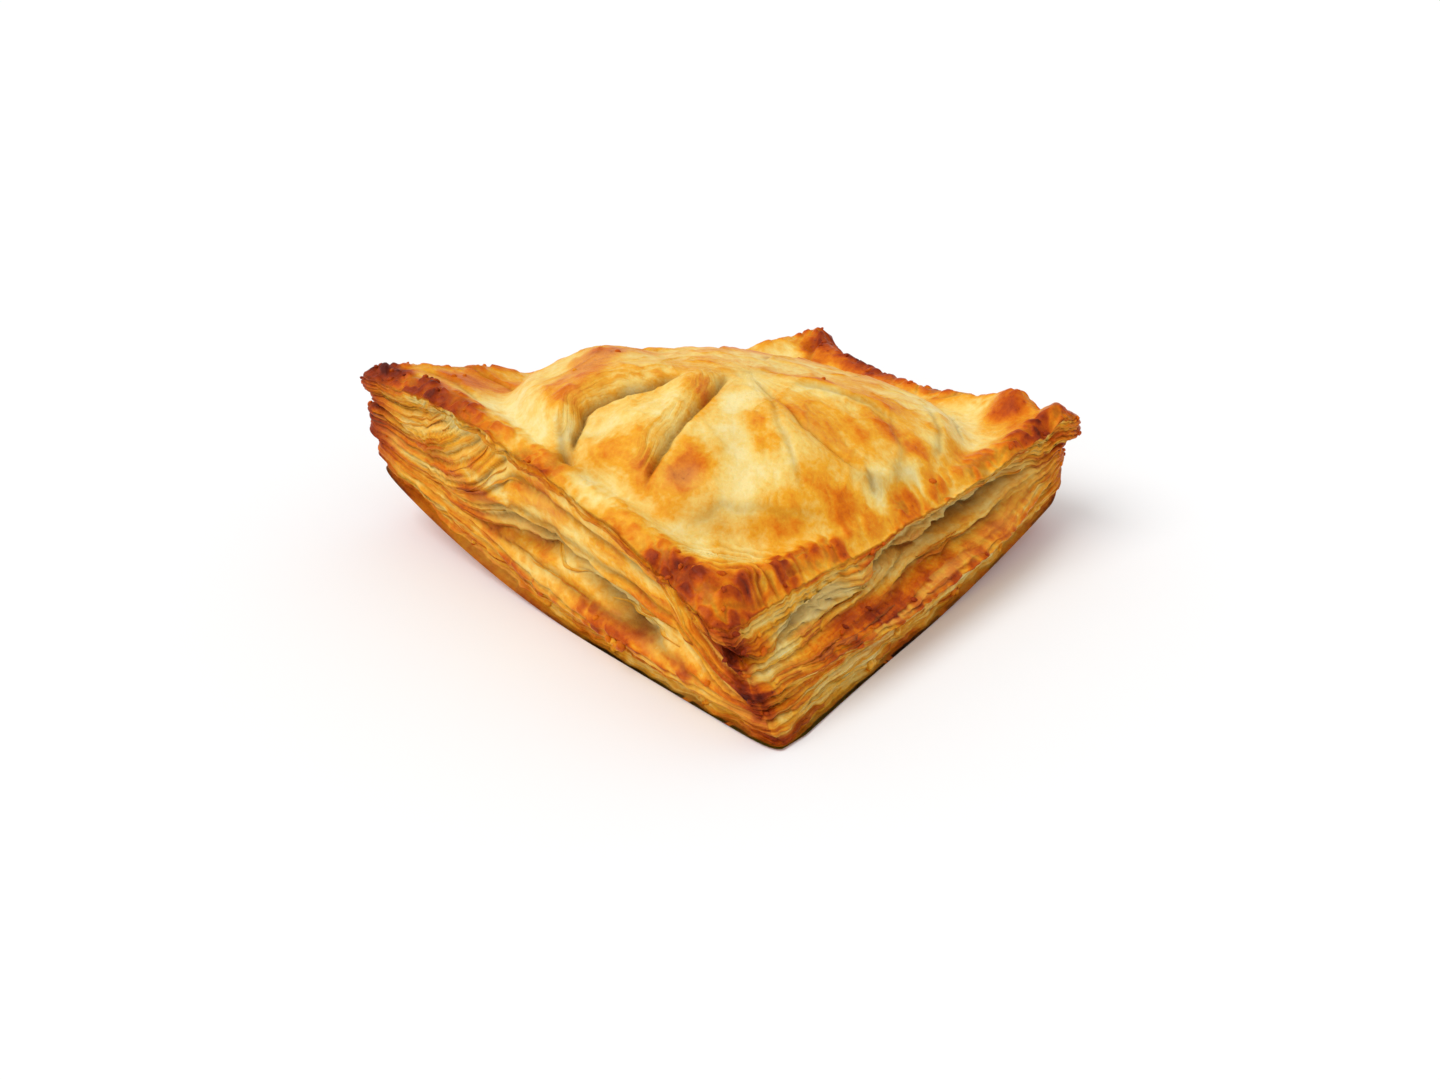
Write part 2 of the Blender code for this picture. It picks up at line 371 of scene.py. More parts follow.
    @staticmethod
    def side_weights(p: Array, q: Array) -> list[Array]:
        """How strongly each side's own middle acts at p, q."""
        return [
            (1 - p**2) * ((1 - q) / 2) ** 2,
            (1 - q**2) * ((1 + p) / 2) ** 2,
            (1 - p**2) * ((1 + q) / 2) ** 2,
            (1 - q**2) * ((1 - p) / 2) ** 2,
        ]

    def drawn_in(self, points: Array, p: Array, q: Array, amounts: Sequence[float]) -> Array:
        """Pulls each side's middle towards the centre, in plan.

        Args:
            points: The points, which are moved.
            p: Their first coordinate in the square.
            q: Their second coordinate in the square.
            amounts: How far each side's middle is pulled in.

        Returns:
            The same points.
        """
        for weight, amount, inward in zip(self.side_weights(p, q), amounts, INWARD):
            points[..., 0] += inward[0] * amount * weight
            points[..., 1] += inward[1] * amount * weight
        return points

    @staticmethod
    def curve_reading(curve: Sequence[tuple[float, float]], x: Array, y: Array) -> tuple[Array, Array]:
        """Reads a line through points in plan.

        Args:
            curve: The line's points, in order.
            x: Places to read, along X.
            y: Places to read, along Y.

        Returns:
            The distance to the line, positive on its right, and the share of the line nearest.
        """
        knots = np.array(curve)
        lengths = np.linalg.norm(np.diff(knots, axis=0), axis=1)
        starts = np.concatenate([[0.0], np.cumsum(lengths)])
        nearest = np.full(np.shape(x), np.inf)
        signed, along = np.zeros(np.shape(x)), np.zeros(np.shape(x))
        for index, length in enumerate(lengths):
            way = (knots[index + 1] - knots[index]) / length
            dx, dy = x - knots[index][0], y - knots[index][1]
            share = np.clip((dx * way[0] + dy * way[1]) / length, 0.0, 1.0)
            gap = np.hypot(dx - share * length * way[0], dy - share * length * way[1])
            closer = gap < nearest
            nearest = np.where(closer, gap, nearest)
            signed = np.where(closer, gap * np.sign(dx * way[1] - dy * way[0]), signed)
            along = np.where(closer, (starts[index] + share * length) / starts[-1], along)
        return signed, along

    def cut_relief(self, cut: Cut, x: Array, y: Array) -> Array:
        """The step of a cut: a hollow at its foot, a torn face, and a raised lip above it.

        Args:
            cut: The cut, or the crease.
            x: Places along X.
            y: Places along Y.

        Returns:
            The height that it adds at each place.
        """
        signed, along = self.curve_reading(cut.points, x, y)
        hollow = -cut.drop * bell(np.minimum(signed, 0.0) / self.cut_reach)
        lip = cut.lip * bell(np.maximum(signed - self.cut_face, 0.0) / self.cut_reach)
        face = 1.0 - (1.0 - np.clip(signed / self.cut_face, 0.0, 1.0)) ** self.cut_steepness
        return tapered(self.cut_taper, along) * (hollow * (1 - face) + lip * face)

    def outline_reach(self, x: Array, y: Array) -> Array:
        """How far out places lie from the dome's centre.

        Args:
            x: Places along X.
            y: Places along Y.

        Returns:
            The distance, as a share of the dome's radius in that direction.
        """
        across = np.abs(x - self.dome_centre[0]) ** self.dome_power
        across = across + np.abs(y - self.dome_centre[1]) ** self.dome_power
        return across ** (1.0 / self.dome_power) / self.dome_radius

    def dome_reach(self, x: Array, y: Array) -> Array:
        """0 at the dome's crown, which leans away from the centre, and 1 round its foot."""
        lean = np.clip(1.0 - self.outline_reach(x, y) ** 2, 0.0, None)
        return self.outline_reach(x - self.dome_lean[0] * lean, y - self.dome_lean[1] * lean)

    def sheet(self, p: Array, q: Array) -> Array:
        """The upper sheet.

        Args:
            p: The points' first coordinate.
            q: Their second coordinate.

        Returns:
            The points.
        """
        level = np.maximum(np.abs(p), np.abs(q))
        p, q = self.rounded(p, q)
        points = self.drawn_in(self.bilinear(self.sheet_corners, p, q), p, q, self.sheet_drawn_in)
        for arch, weight in zip(self.sheet_arch, self.side_weights(p, q)):
            points[..., 2] += arch * weight
        x, y = points[..., 0], points[..., 1]
        reach = self.dome_reach(x, y)
        inside = np.clip(1.0 - reach, 0.0, 1.0)
        on_dome = smooth_step(0.0, self.dome_foot, inside)
        height = self.dome_height * (1.0 - (1.0 - inside) ** 2) * on_dome
        height -= self.brim_dip * bump((reach - 1.0) / self.brim_dip_width)
        for cut in self.cuts:
            height += self.cut_relief(cut, x, y) * on_dome
        for swelling in self.swellings:
            distance = np.hypot(x - swelling.x, y - swelling.y)
            height += swelling.height * bump(distance / swelling.radius)
        height += self.crest_height * bump((level - self.crest_level) / self.crest_width)
        points[..., 2] += height - self.edge_roll * smooth_step(self.edge_roll_start, 1.0, level)
        return points

    def base(self, p: Array, q: Array) -> Array:
        """The underside, which curls up at its corners.

        Args:
            p: The points' first coordinate.
            q: Their second coordinate.

        Returns:
            The points.
        """
        p, q = self.rounded(p, q)
        points = self.drawn_in(self.bilinear(self.base_corners, p, q), p, q, self.base_drawn_in)
        points[..., 2] = 0.0
        for corner, (sign_p, sign_q) in zip(self.base_corners, CORNER_SIGNS):
            nearness = (sign_p * p + sign_q * q) / 2.0
            curl = np.clip((nearness - self.curl_start) / (1.0 - self.curl_start), 0.0, None)
            points[..., 2] += corner[2] * curl**2
        return points

    def slant(self, side: Array, share: Array) -> Array:
        """How far the leaves have slanted up.

        Args:
            side: Each place's side.
            share: Its place along the side.

        Returns:
            The rise, in levels.
        """
        slant = np.zeros(np.shape(share))
        for index, (amount, start, end) in enumerate(self.leaf_slant):
            rise = amount * smooth_step(start, end, share) * smooth_step(1.0, self.slant_end, share)
            slant = np.where(side == index, rise, slant)
        return slant

    def leaf_level(self, side: Array, share: Array, level: Array) -> Array:
        """The level at which a leaf through this place leaves the corner that its side starts from."""
        return level + self.slant(side, share) * np.clip(1.0 - level / self.slant_depth, 0.0, 1.0)

    def wall_offset(self, side: Array, share: Array, level: Array) -> Array:
        """How far the wall stands out from the straight line between sheet and base.

        Args:
            side: Each place's side.
            share: Its place along the side.
            level: Its level.

        Returns:
            The distance, which is negative where the wall lies behind the line.
        """
        bunch = np.sin(2 * math.pi * self.bunch_count * self.leaf_level(side, share, level))
        thinning = 0.5 - 0.5 * np.sin(2 * math.pi * self.bunch_waves * (side + share))
        offset = self.bunch_height * (1.0 - self.bunch_thinning * thinning) * bunch
        for fold in self.folds:
            offset = offset + fold.out * fold.on_its_side(side, share, level)
        return offset - self.tuck * smooth_step(self.tuck_start, 1.0, level) ** 2


SKIN_VALUES = ("points", "browning", "paleness", "recess", "laminae", "grain")


@dataclass
class Skin:
    """Points of a surface, with what its finish reads at each of them.

    browning runs from 0, pale, to 1, dark. paleness is raw-looking dough; the painted shade darkens places
    that lie deep between leaves, in slits, creases, folds and pits, where shade falls; laminae is how
    strongly leaves show edge on, and grain is the place along and across the streaks.
    """

    points: Array
    browning: Array
    paleness: Array
    recess: Array
    laminae: Array
    grain: Array

    def flat(self) -> "Skin":
        """The same skin with its rows joined into one list."""
        return Skin(
            self.points.reshape(-1, 3),
            self.browning.reshape(-1),
            self.paleness.reshape(-1),
            self.recess.reshape(-1),
            self.laminae.reshape(-1),
            self.grain.reshape(-1, 3),
        )

    def chosen(self, places: Array) -> "Skin":
        """Some of the points of a flat skin."""
        return Skin(*(getattr(self, name)[places] for name in SKIN_VALUES))

    @staticmethod
    def join(skins: Sequence["Skin"]) -> "Skin":
        """One list of points from several skins, in order."""
        parts = [skin.flat() for skin in skins]
        return Skin(*(np.concatenate([getattr(part, name) for part in parts]) for name in SKIN_VALUES))


def grid_faces(*corners: Array) -> Array:
    """Four-cornered faces from the grids of their first, second, third and fourth points."""
    return np.stack(corners, axis=-1).reshape(-1, 4)


def make_piece(
    name: str,
    skin: Skin,
    faces: Sequence[Sequence[int]],
    material: bpy.types.Material,
    normals: Array | None = None,
) -> bpy.types.Object:
    """Makes a smooth mesh piece that carries a skin's values as attributes and stands for the puff.

    Args:
        name: The piece's name.
        skin: Its points and the values that its finish reads.
        faces: Its faces, as indices of points.
        material: Its finish.
        normals: The way that it faces at each point, where it meets another piece in a shared edge.

    Returns:
        The piece, riding on the puff's body.
    """
    mesh = bpy.data.meshes.new(name)
    mesh.from_pydata(np.clip(skin.points, *CAD_BOX).tolist(), [], faces)
    for label in ("browning", "paleness", "recess", "laminae"):
        mesh.attributes.new(label, "FLOAT", "POINT").data.foreach_set("value", getattr(skin, label))
    mesh.attributes.new("grain", "FLOAT_VECTOR", "POINT").data.foreach_set("vector", skin.grain.ravel())
    mesh.shade_smooth()
    if normals is not None:
        mesh.normals_split_custom_set_from_vertices(normals.tolist())
    mesh.materials.append(material)
    piece = bpy.data.objects.new(name, mesh)
    bpy.context.scene.collection.objects.link(piece)
    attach(piece, "root")
    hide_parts("puff")
    return piece


class Spot(NamedTuple):
    """A patch of the upper sheet that baked darker, or paler where its amount is negative, or a patch of
    painted shade.

    It is stretch times as long as it is wide, and turn degrees from X.
    """

    x: float
    y: float
    radius: float
    amount: float
    stretch: float = 1.0
    turn: float = 0.0

    def reading(self, x: Array, y: Array, shake: Array) -> Array:
        """How strongly the patch shows.

        Args:
            x: Places along X.
            y: Places along Y.
            shake: How much noise moves the patch's edge at each of them, as a share of its radius.

        Returns:
            The strength at each place, from 0 to 1.
        """
        turn = math.radians(self.turn)
        dx, dy = x - self.x, y - self.y
        along = (dx * math.cos(turn) + dy * math.sin(turn)) / self.stretch
        across = dy * math.cos(turn) - dx * math.sin(turn)
        return np.exp(-((np.hypot(along, across) / self.radius * (1.0 + shake)) ** 2.6))


class WallSpot(NamedTuple):
    """A patch of a side wall that baked darker, or paler where its amount is negative; two of them are
    painted shade under the front corner's knob.
    """

    side: Side
    share: float
    level: float
    half_share: float
    half_level: float
    amount: float

    def reading(self, side: Array, share: Array, level: Array) -> Array:
        """What the patch adds to the browning at each place of any side."""
        reach = np.hypot((share - self.share) / self.half_share, (level - self.level) / self.half_level)
        return np.where(side == self.side.value, self.amount * np.exp(-(reach**2)), 0.0)

    @classmethod
    def on(cls, side: Side, *rows: tuple[float, ...]) -> tuple["WallSpot", ...]:
        """The patches of one side, each given by its other values in order."""
        return tuple(cls(side, *row) for row in rows)


class Seam(NamedTuple):
    """A thin fold where one leaf of the upper sheet laps over the next.

    The leaf on the right of the points, followed in order, lies on top.
    """

    points: tuple[tuple[float, float], ...]
    height: float
    reach: float


class Torn(NamedTuple):
    """What a cut does at each place of the sheet.

    height is what it adds, face how strongly its torn face shows, shadow how near its slit is,
    stripe the leaves in the face from -1 to 1, and drift how far the grain shifts across it.
    """

    height: Array
    face: Array
    shadow: Array
    stripe: Array
    drift: Array


class Rounding(NamedTuple):
    """A corner that baked rounder: everything near it is drawn in towards the middle."""

    x: float
    y: float
    radius: float
    pull: float


@dataclass(frozen=True)
class SheetTint:
    """How much each feature of the upper sheet adds to its browning."""

    plain: float = 0.20
    wave: float = 0.11
    ripple: float = 0.05
    streak: float = 0.04
    vein: float = 0.05
    rim: float = 0.21
    blister: float = 0.28
    dome_foot: float = -0.10
    wrinkle: float = -0.17
    torn_leaf: float = 0.05
    seam: float = 0.10


@dataclass
class SheetCrust:
    """The surface of the upper sheet: streaks, blisters, wrinkles, seams and the torn faces of the cuts."""

    form: PuffForm
    tint: SheetTint = SheetTint()
    bury: float = 0.0003
    apex: tuple[float, float] = (0.0075, -0.0065)
    dome_rim: float = 0.86
    foot_place: float = 1.03
    foot_width: float = 0.12
    hollow_waves: tuple[float, float] = (0.05, -0.6)
    hollow_paleness: float = 0.30

    wave: Pattern = Pattern(0.010, 0.5, 2)
    wave_height: float = 0.00050
    ripple: Pattern = Pattern(0.0040, 1.5, 3)
    ripple_height: float = 0.00016
    vein: Pattern = Pattern(0.0075, 16.5, 2)
    vein_bend: float = 0.00225
    vein_start: float = 0.86
    vein_height: float = 0.00025
    spoke_grain: float = 9.0
    grain_length: float = 0.009
    streak_length: float = 0.012
    streak_bend: float = 1.5
    streak_layer: float = 4.5
    streak_start: tuple[float, float] = (0.004, 0.016)
    streak_height: float = 0.00010

    rim_start: float = 0.84
    rim_full: float = 0.93
    brown_rim_full: float = 0.95
    rim_edge: Pattern = Pattern(0.012, 9.5)
    rim_waver: float = 0.03
    rim_swell: Pattern = Pattern(0.0065, 14.5, 2)
    rim_swell_height: float = 0.0006
    blister: Pattern = Pattern(0.0027, 7.5, 2)
    blister_warp: Pattern = Pattern(0.004, 8.5)
    blister_warp_size: float = 0.0012
    blister_full: float = 0.62
    blister_height: float = 0.0008
    pit_reading: float = -0.25
    pit_shade: float = 2.0
    calm_rim: float = 0.50
    rough_rim: float = 2.8

    slit_edge: Pattern = Pattern(0.004, 11.5, 2)
    slit_waver: float = 0.0005
    slit_taper: float = 0.6
    slit_depth: float = 0.0015
    slit_width: float = 0.0006
    slit_offset: float = 0.4
    slit_fill: float = 0.0008
    slit_shade: float = 0.80
    full_drop: float = 0.0024
    torn_drop: float = 0.0015
    face_edge: Pattern = Pattern(0.009, 12.5)
    face_waver: float = 0.10
    face_leaves: int = 3
    face_leaf_height: float = 0.00014
    face_middle: float = 0.50
    face_half: float = 0.80
    face_grain: float = 7.0
    face_grain_reach: float = 3.0
    torn_paleness: float = 0.12

    wrinkle_centre: tuple[float, float] = (0.0465, -0.0530)
    wrinkle_edge: Pattern = Pattern(0.006, 3.5, 3)
    wrinkle_waver: float = 0.0022
    wrinkle_patch: Pattern = Pattern(0.004, 13.5)
    wrinkle_patchiness: tuple[float, float] = (0.7, 0.6)
    wrinkle_ring: float = 0.0135
    wrinkle_width: float = 0.0095
    wrinkle_turn: float = 2.0
    wrinkle_half_turn: float = 1.2
    wrinkle_pitch: float = 0.0040
    wrinkle_sharpness: float = 1.5
    wrinkle_height: float = 0.00070
    wrinkle_shade: float = 0.5

    seam_edge: Pattern = Pattern(0.005, 18.5, 2)
    seam_waver: float = 0.0009
    seam_taper: float = 0.25
    seam_step: tuple[float, float] = (-0.0004, 0.0010)
    seam_lift: float = 1.20
    seam_line: tuple[float, float] = (-0.0003, 0.0008)
    seam_depth: float = 0.5
    seam_shade: float = 0.36
    full_seam: float = 0.0006
    seams: tuple[Seam, ...] = (
        Seam(((0.0340, 0.0110), (0.0270, 0.0085), (0.0205, 0.0040), (0.0140, -0.0030)), 0.00060, 0.0035),
        Seam(
            ((0.0250, 0.0070), (0.0330, 0.0075), (0.0390, 0.0050), (0.0425, -0.0010), (0.0420, -0.0060)),
            0.00040,
            0.0035,
        ),
        Seam(((0.0405, -0.0225), (0.0325, -0.0195), (0.0256, -0.0161), (0.0160, -0.0090)), 0.00050, 0.0035),
        Seam(((0.0393, -0.0060), (0.0410, -0.0075), (0.0430, -0.0095)), 0.0005, 0.0015),
        Seam(((0.0260, -0.0430), (0.0320, -0.0345), (0.0385, -0.0265), (0.0430, -0.0195)), 0.00045, 0.0030),
        Seam(((0.0430, 0.0090), (0.0381, 0.0180), (0.0276, 0.0258)), 0.00060, 0.0030),
        Seam(((0.0390, 0.0230), (0.0310, 0.0330), (0.0200, 0.0400)), 0.00060, 0.0030),
        Seam(((-0.0090, -0.0425), (-0.0030, -0.0465), (0.0040, -0.0490)), 0.00050, 0.0020),
        Seam(((-0.0300, -0.0330), (-0.0410, -0.0310), (-0.0500, -0.0350)), 0.00060, 0.0035),
        Seam(((-0.0280, -0.0450), (-0.0400, -0.0430), (-0.0500, -0.0460)), 0.00060, 0.0030),
        Seam(((0.0010, 0.0040), (-0.0070, 0.0160), (-0.0110, 0.0290), (-0.0060, 0.0400)), 0.00060, 0.0045),
        Seam(((0.0090, 0.0140), (0.0110, 0.0230), (0.0070, 0.0310)), 0.00050, 0.0040),
        Seam(((-0.0150, -0.0070), (-0.0260, -0.0060), (-0.0360, -0.0130)), 0.00060, 0.0045),
        Seam(((-0.0060, 0.0040), (-0.0140, 0.0070), (-0.0260, 0.0180), (-0.0280, 0.0270)), 0.00050, 0.0040),
        Seam(((-0.0150, 0.0400), (-0.0230, 0.0450), (-0.0290, 0.0540)), 0.00070, 0.0030),
        Seam(((0.0000, 0.0400), (0.0120, 0.0420), (0.0230, 0.0460)), 0.00070, 0.0030),
    )
    knobs: tuple[Swelling, ...] = (
        Swelling(-0.0143, -0.0212, 0.0100, 0.0007),
        Swelling(0.0030, 0.0500, 0.0150, 0.0016),
        Swelling(0.0200, 0.0485, 0.0150, 0.0016),
        Swelling(-0.0540, -0.0535, 0.0070, 0.0010),
        Swelling(0.0455, -0.0520, 0.0050, 0.0006),
        Swelling(0.0425, -0.0475, 0.0090, 0.0013),
        Swelling(0.0365, 0.0435, 0.0065, 0.0020),
        Swelling(0.0480, 0.0430, 0.0055, 0.0016),
        Swelling(0.0430, 0.0465, 0.0028, -0.0012),
        Swelling(-0.0270, 0.0505, 0.0035, -0.0016),
        Swelling(-0.0290, 0.0570, 0.0050, 0.0010),
        Swelling(0.0009, -0.0475, 0.0020, -0.0016),
    )

    patch_edge: Pattern = Pattern(0.004, 2.5, 2)
    patch_shake: float = 0.35
    spots: tuple[Spot, ...] = (
        # The dome
        Spot(-0.0100, -0.0395, 0.0046, 0.28),
        Spot(-0.0175, -0.0255, 0.0045, 0.26, 1.8, 90.0),
        Spot(-0.0165, -0.0150, 0.0045, 0.20, 1.5, 80.0),
        Spot(-0.0230, -0.0200, 0.0060, 0.08),
        Spot(-0.0035, -0.0290, 0.0020, -0.10, 3.0, 60.0),
        Spot(0.0040, -0.0320, 0.0045, -0.13, 1.8, 75.0),
        Spot(0.0070, -0.0430, 0.0042, 0.14, 1.5, 20.0),
        Spot(0.0074, -0.0500, 0.0035, -0.12),
        Spot(0.0146, -0.0495, 0.0035, -0.12),
        Spot(0.0086, -0.0200, 0.0028, 0.24, 1.6, -75.0),
        Spot(0.0135, -0.0325, 0.0018, -0.06, 4.0, -80.0),
        Spot(0.0155, -0.0405, 0.0022, 0.16, 1.8, -80.0),
        Spot(0.0205, -0.0372, 0.0038, 0.26, 1.7, -62.0),
        Spot(0.0215, -0.0376, 0.0017, 0.14),
        Spot(0.0200, -0.0250, 0.0040, -0.08, 1.8, -50.0),
        Spot(0.0310, -0.0310, 0.0058, -0.13, 1.4, 50.0),
        Spot(0.0277, -0.0415, 0.0035, -0.06, 1.4, 40.0),
        Spot(0.0262, -0.0205, 0.0030, 0.16, 1.4, -30.0),
        Spot(0.0218, -0.0190, 0.0032, 0.18),
        Spot(0.0285, -0.0075, 0.0050, 0.14, 1.6, -25.0),
        Spot(0.0345, -0.0030, 0.0035, 0.12),
        Spot(0.0412, -0.0047, 0.0022, -0.18, 1.5, 60.0),
        Spot(0.0438, -0.0080, 0.0026, -0.26),
        Spot(0.0350, 0.0060, 0.0036, 0.24, 1.4, 20.0),
        Spot(0.0401, 0.0083, 0.0026, 0.18),
        Spot(0.0368, -0.0280, 0.0032, 0.20, 1.5, 50.0),
        Spot(0.0415, -0.0160, 0.0030, 0.18, 1.4, 80.0),
        Spot(0.0200, 0.0015, 0.0030, -0.18, 3.0, 42.0),
        Spot(0.0270, 0.0140, 0.0050, 0.14, 1.6, 50.0),
        Spot(0.0345, 0.0250, 0.0080, -0.16, 1.4, 60.0),
        Spot(0.0398, 0.0145, 0.0036, -0.10),
        Spot(0.0437, 0.0020, 0.0026, -0.10),
        Spot(0.0440, 0.0390, 0.0060, 0.10),
        Spot(0.0475, -0.0465, 0.0045, 0.12),
        Spot(0.0140, -0.0155, 0.0040, -0.14, 1.6, -50.0),
        Spot(-0.0130, -0.0270, 0.0085, 0.14),
        Spot(-0.0180, -0.0350, 0.0060, 0.10),
        Spot(0.0245, -0.0345, 0.0042, 0.15),
        Spot(0.0150, -0.0420, 0.0035, 0.08),
        Spot(0.0105, -0.0120, 0.0030, 0.14),
        Spot(0.0165, -0.0285, 0.0028, -0.12),
        Spot(0.0215, -0.0225, 0.0030, -0.12, 1.4, 60.0),
        Spot(0.0310, -0.0215, 0.0032, -0.12, 1.4, 50.0),
        Spot(0.0160, 0.0040, 0.0050, 0.12, 1.6, 40.0),
        Spot(0.0080, 0.0010, 0.0040, 0.10, 1.6, 40.0),
        Spot(0.0330, 0.0140, 0.0045, 0.10, 1.5, 50.0),
        Spot(0.0440, 0.0060, 0.0030, -0.16, 1.6, 80.0),
        Spot(0.0285, -0.0165, 0.0036, -0.16, 1.5, 20.0),
        Spot(-0.0330, -0.0460, 0.0060, 0.10),
        Spot(0.0405, 0.0345, 0.0070, 0.18),
        # The left corner and the rim from it to the front corner
        Spot(-0.0545, -0.0545, 0.0060, 0.40),
        Spot(-0.0495, -0.0535, 0.0050, 0.24),
        Spot(-0.0430, -0.0530, 0.0050, 0.22),
        Spot(-0.0370, -0.0520, 0.0050, 0.28),
        Spot(-0.0300, -0.0520, 0.0050, 0.18),
        Spot(-0.0240, -0.0510, 0.0048, 0.24),
        Spot(-0.0155, -0.0506, 0.0035, 0.18),
        Spot(-0.0070, -0.0525, 0.0030, 0.20),
        Spot(0.0000, -0.0530, 0.0030, 0.16),
        Spot(0.0060, -0.0530, 0.0028, 0.10),
        Spot(0.0150, -0.0530, 0.0032, 0.08),
        Spot(0.0235, -0.0535, 0.0032, 0.08),
        # The foot of the dome behind that rim, and before the right corner
        Spot(-0.0415, -0.0395, 0.0080, 0.32),
        Spot(-0.0410, -0.0300, 0.0060, 0.20),
        Spot(-0.0240, -0.0440, 0.0080, -0.18),
        Spot(-0.0330, -0.0460, 0.0050, -0.12),
        Spot(-0.0100, -0.0455, 0.0060, -0.16),
        Spot(0.0270, 0.0350, 0.0060, -0.12),
        # The front corner
        Spot(0.0318, -0.0540, 0.0045, 0.20),
        Spot(0.0367, -0.0530, 0.0045, 0.22),
        Spot(0.0410, -0.0530, 0.0038, 0.24),
        Spot(0.0382, -0.0485, 0.0035, 0.10),
        Spot(0.0440, -0.0450, 0.0032, 0.16),
        Spot(0.0467, -0.0361, 0.0026, 0.22),
        Spot(0.0460, -0.0286, 0.0024, 0.20),
        Spot(0.0466, -0.0230, 0.0024, 0.26),
        Spot(0.0493, -0.0525, 0.0042, 0.26),
        # The rim from there to the right corner
        Spot(0.0459, -0.0024, 0.0032, 0.16),
        Spot(0.0458, 0.0069, 0.0032, 0.18),
        Spot(0.0444, 0.0200, 0.0045, 0.30),
        Spot(0.0460, 0.0290, 0.0055, 0.20),
        Spot(0.0365, 0.0422, 0.0040, 0.34),
        Spot(0.0483, 0.0380, 0.0026, 0.32),
        Spot(0.0480, 0.0450, 0.0036, 0.26),
        Spot(0.0420, 0.0470, 0.0060, 0.10),
        # The rim along the back, and the slope that faces it
        Spot(0.0170, 0.0475, 0.0070, 0.22),
        Spot(0.0030, 0.0490, 0.0080, 0.30),
        Spot(-0.0100, 0.0510, 0.0090, 0.32),
        Spot(-0.0210, 0.0520, 0.0070, 0.20),
        Spot(-0.0269, 0.0505, 0.0040, 0.28),
        Spot(-0.0310, 0.0570, 0.0060, 0.14),
        Spot(-0.0100, 0.0400, 0.0050, 0.12),
        Spot(-0.0400, 0.0100, 0.0100, 0.15),
        Spot(-0.0430, -0.0150, 0.0080, 0.14),
        Spot(-0.0150, 0.0180, 0.0100, 0.14),
        # Broad patches at the dome's foot
        Spot(-0.0289, -0.0495, 0.0060, 0.10),
        Spot(0.0420, -0.0360, 0.0060, 0.16, 1.5, 70.0),
        Spot(0.0075, -0.0515, 0.0055, -0.08),
        Spot(0.0234, -0.0520, 0.0050, -0.08),
    )
    # Patches of painted shade on the upper sheet, darkening the colour where folds, cracks and notches lie in
    # shade
    shades: tuple[Spot, ...] = (
        Spot(0.0290, -0.0395, 0.0034, 0.20, 1.8, 45.0),
        Spot(0.0415, -0.0074, 0.0022, 0.42, 1.5, 70.0),
        Spot(0.0209, -0.0270, 0.0050, 0.14, 1.6, -60.0),
        Spot(0.0060, -0.0480, 0.0030, 0.20, 1.6, 10.0),
        Spot(0.0425, 0.0010, 0.0022, 0.24, 1.5, 80.0),
        Spot(-0.0005, -0.0480, 0.0022, 0.45, 1.6, -60.0),
    )

    def polar(self, x: Array, y: Array) -> tuple[Array, Array]:
        """Distance from the crown where the strips meet, and the angle round it."""
        dx, dy = x - self.apex[0], y - self.apex[1]
        return np.hypot(dx, dy), np.arctan2(dy, dx)

    def spokes(self, angle: Array) -> tuple[Array, Array]:
        """Coordinates of the grain across its streaks, which run out from the crown."""
        return self.spoke_grain * np.cos(angle), self.spoke_grain * np.sin(angle)

    def patches(self, spots: Sequence[Spot], x: Array, y: Array) -> Array:
        """How much a group of patches adds at each place."""
        shake = self.patch_shake * FINE.over(self.patch_edge, x, y)
        return sum(spot.amount * spot.reading(x, y, shake) for spot in spots)

    def slit_relief(self, cut: Cut, x: Array, y: Array) -> Torn:
        """The slit at a cut's foot and the leaves in its torn face.

        Args:
            cut: The cut, or the crease.
            x: Places along X.
            y: Places along Y.

        Returns:
            What the cut does at each place.
        """
        signed, along = self.form.curve_reading(cut.points, x, y)
        signed = signed + self.slit_waver * FINE.over(self.slit_edge, x, y)
        ends = tapered(self.form.cut_taper * self.slit_taper, along)
        strength = ends * min(1.0, cut.drop / self.full_drop)
        line = bell(signed / self.slit_width + self.slit_offset)
        face = signed / self.form.cut_face
        on_face = bump((face - self.face_middle) / self.face_half)
        leaf = self.face_leaves * (face + self.face_waver * BROAD.over(self.face_edge, x, y))
        stripe = np.sin(2 * math.pi * leaf)
        height = self.slit_fill * bell(face) - self.slit_depth * line
        height += self.face_leaf_height * stripe * on_face
        past = np.maximum(face - 1.0, 0.0) / self.face_grain_reach
        drift = self.face_grain * ends * np.clip(face, 0.0, 1.0) * bell(past)
        return Torn(strength * height, strength * on_face, strength * line, stripe, drift)

    def seam_relief(self, seam: Seam, x: Array, y: Array) -> tuple[Array, Array]:
        """A lapped fold.

        Args:
            seam: The fold.
            x: Places along X.
            y: Places along Y.

        Returns:
            The height that it adds, and its shadow line, from 0 to 1.
        """
        signed, along = self.form.curve_reading(seam.points, x, y)
        signed = signed + self.seam_waver * FINE.over(self.seam_edge, x, y)
        ends = tapered(self.seam_taper, along)
        over = smooth_step(*self.seam_step, signed) * np.exp(-np.maximum(signed, 0.0) / seam.reach)
        place, width = self.seam_line
        shadow = bell((signed - place) / width)
        return self.seam_lift * seam.height * ends * (over - self.seam_depth * shadow), shadow * ends

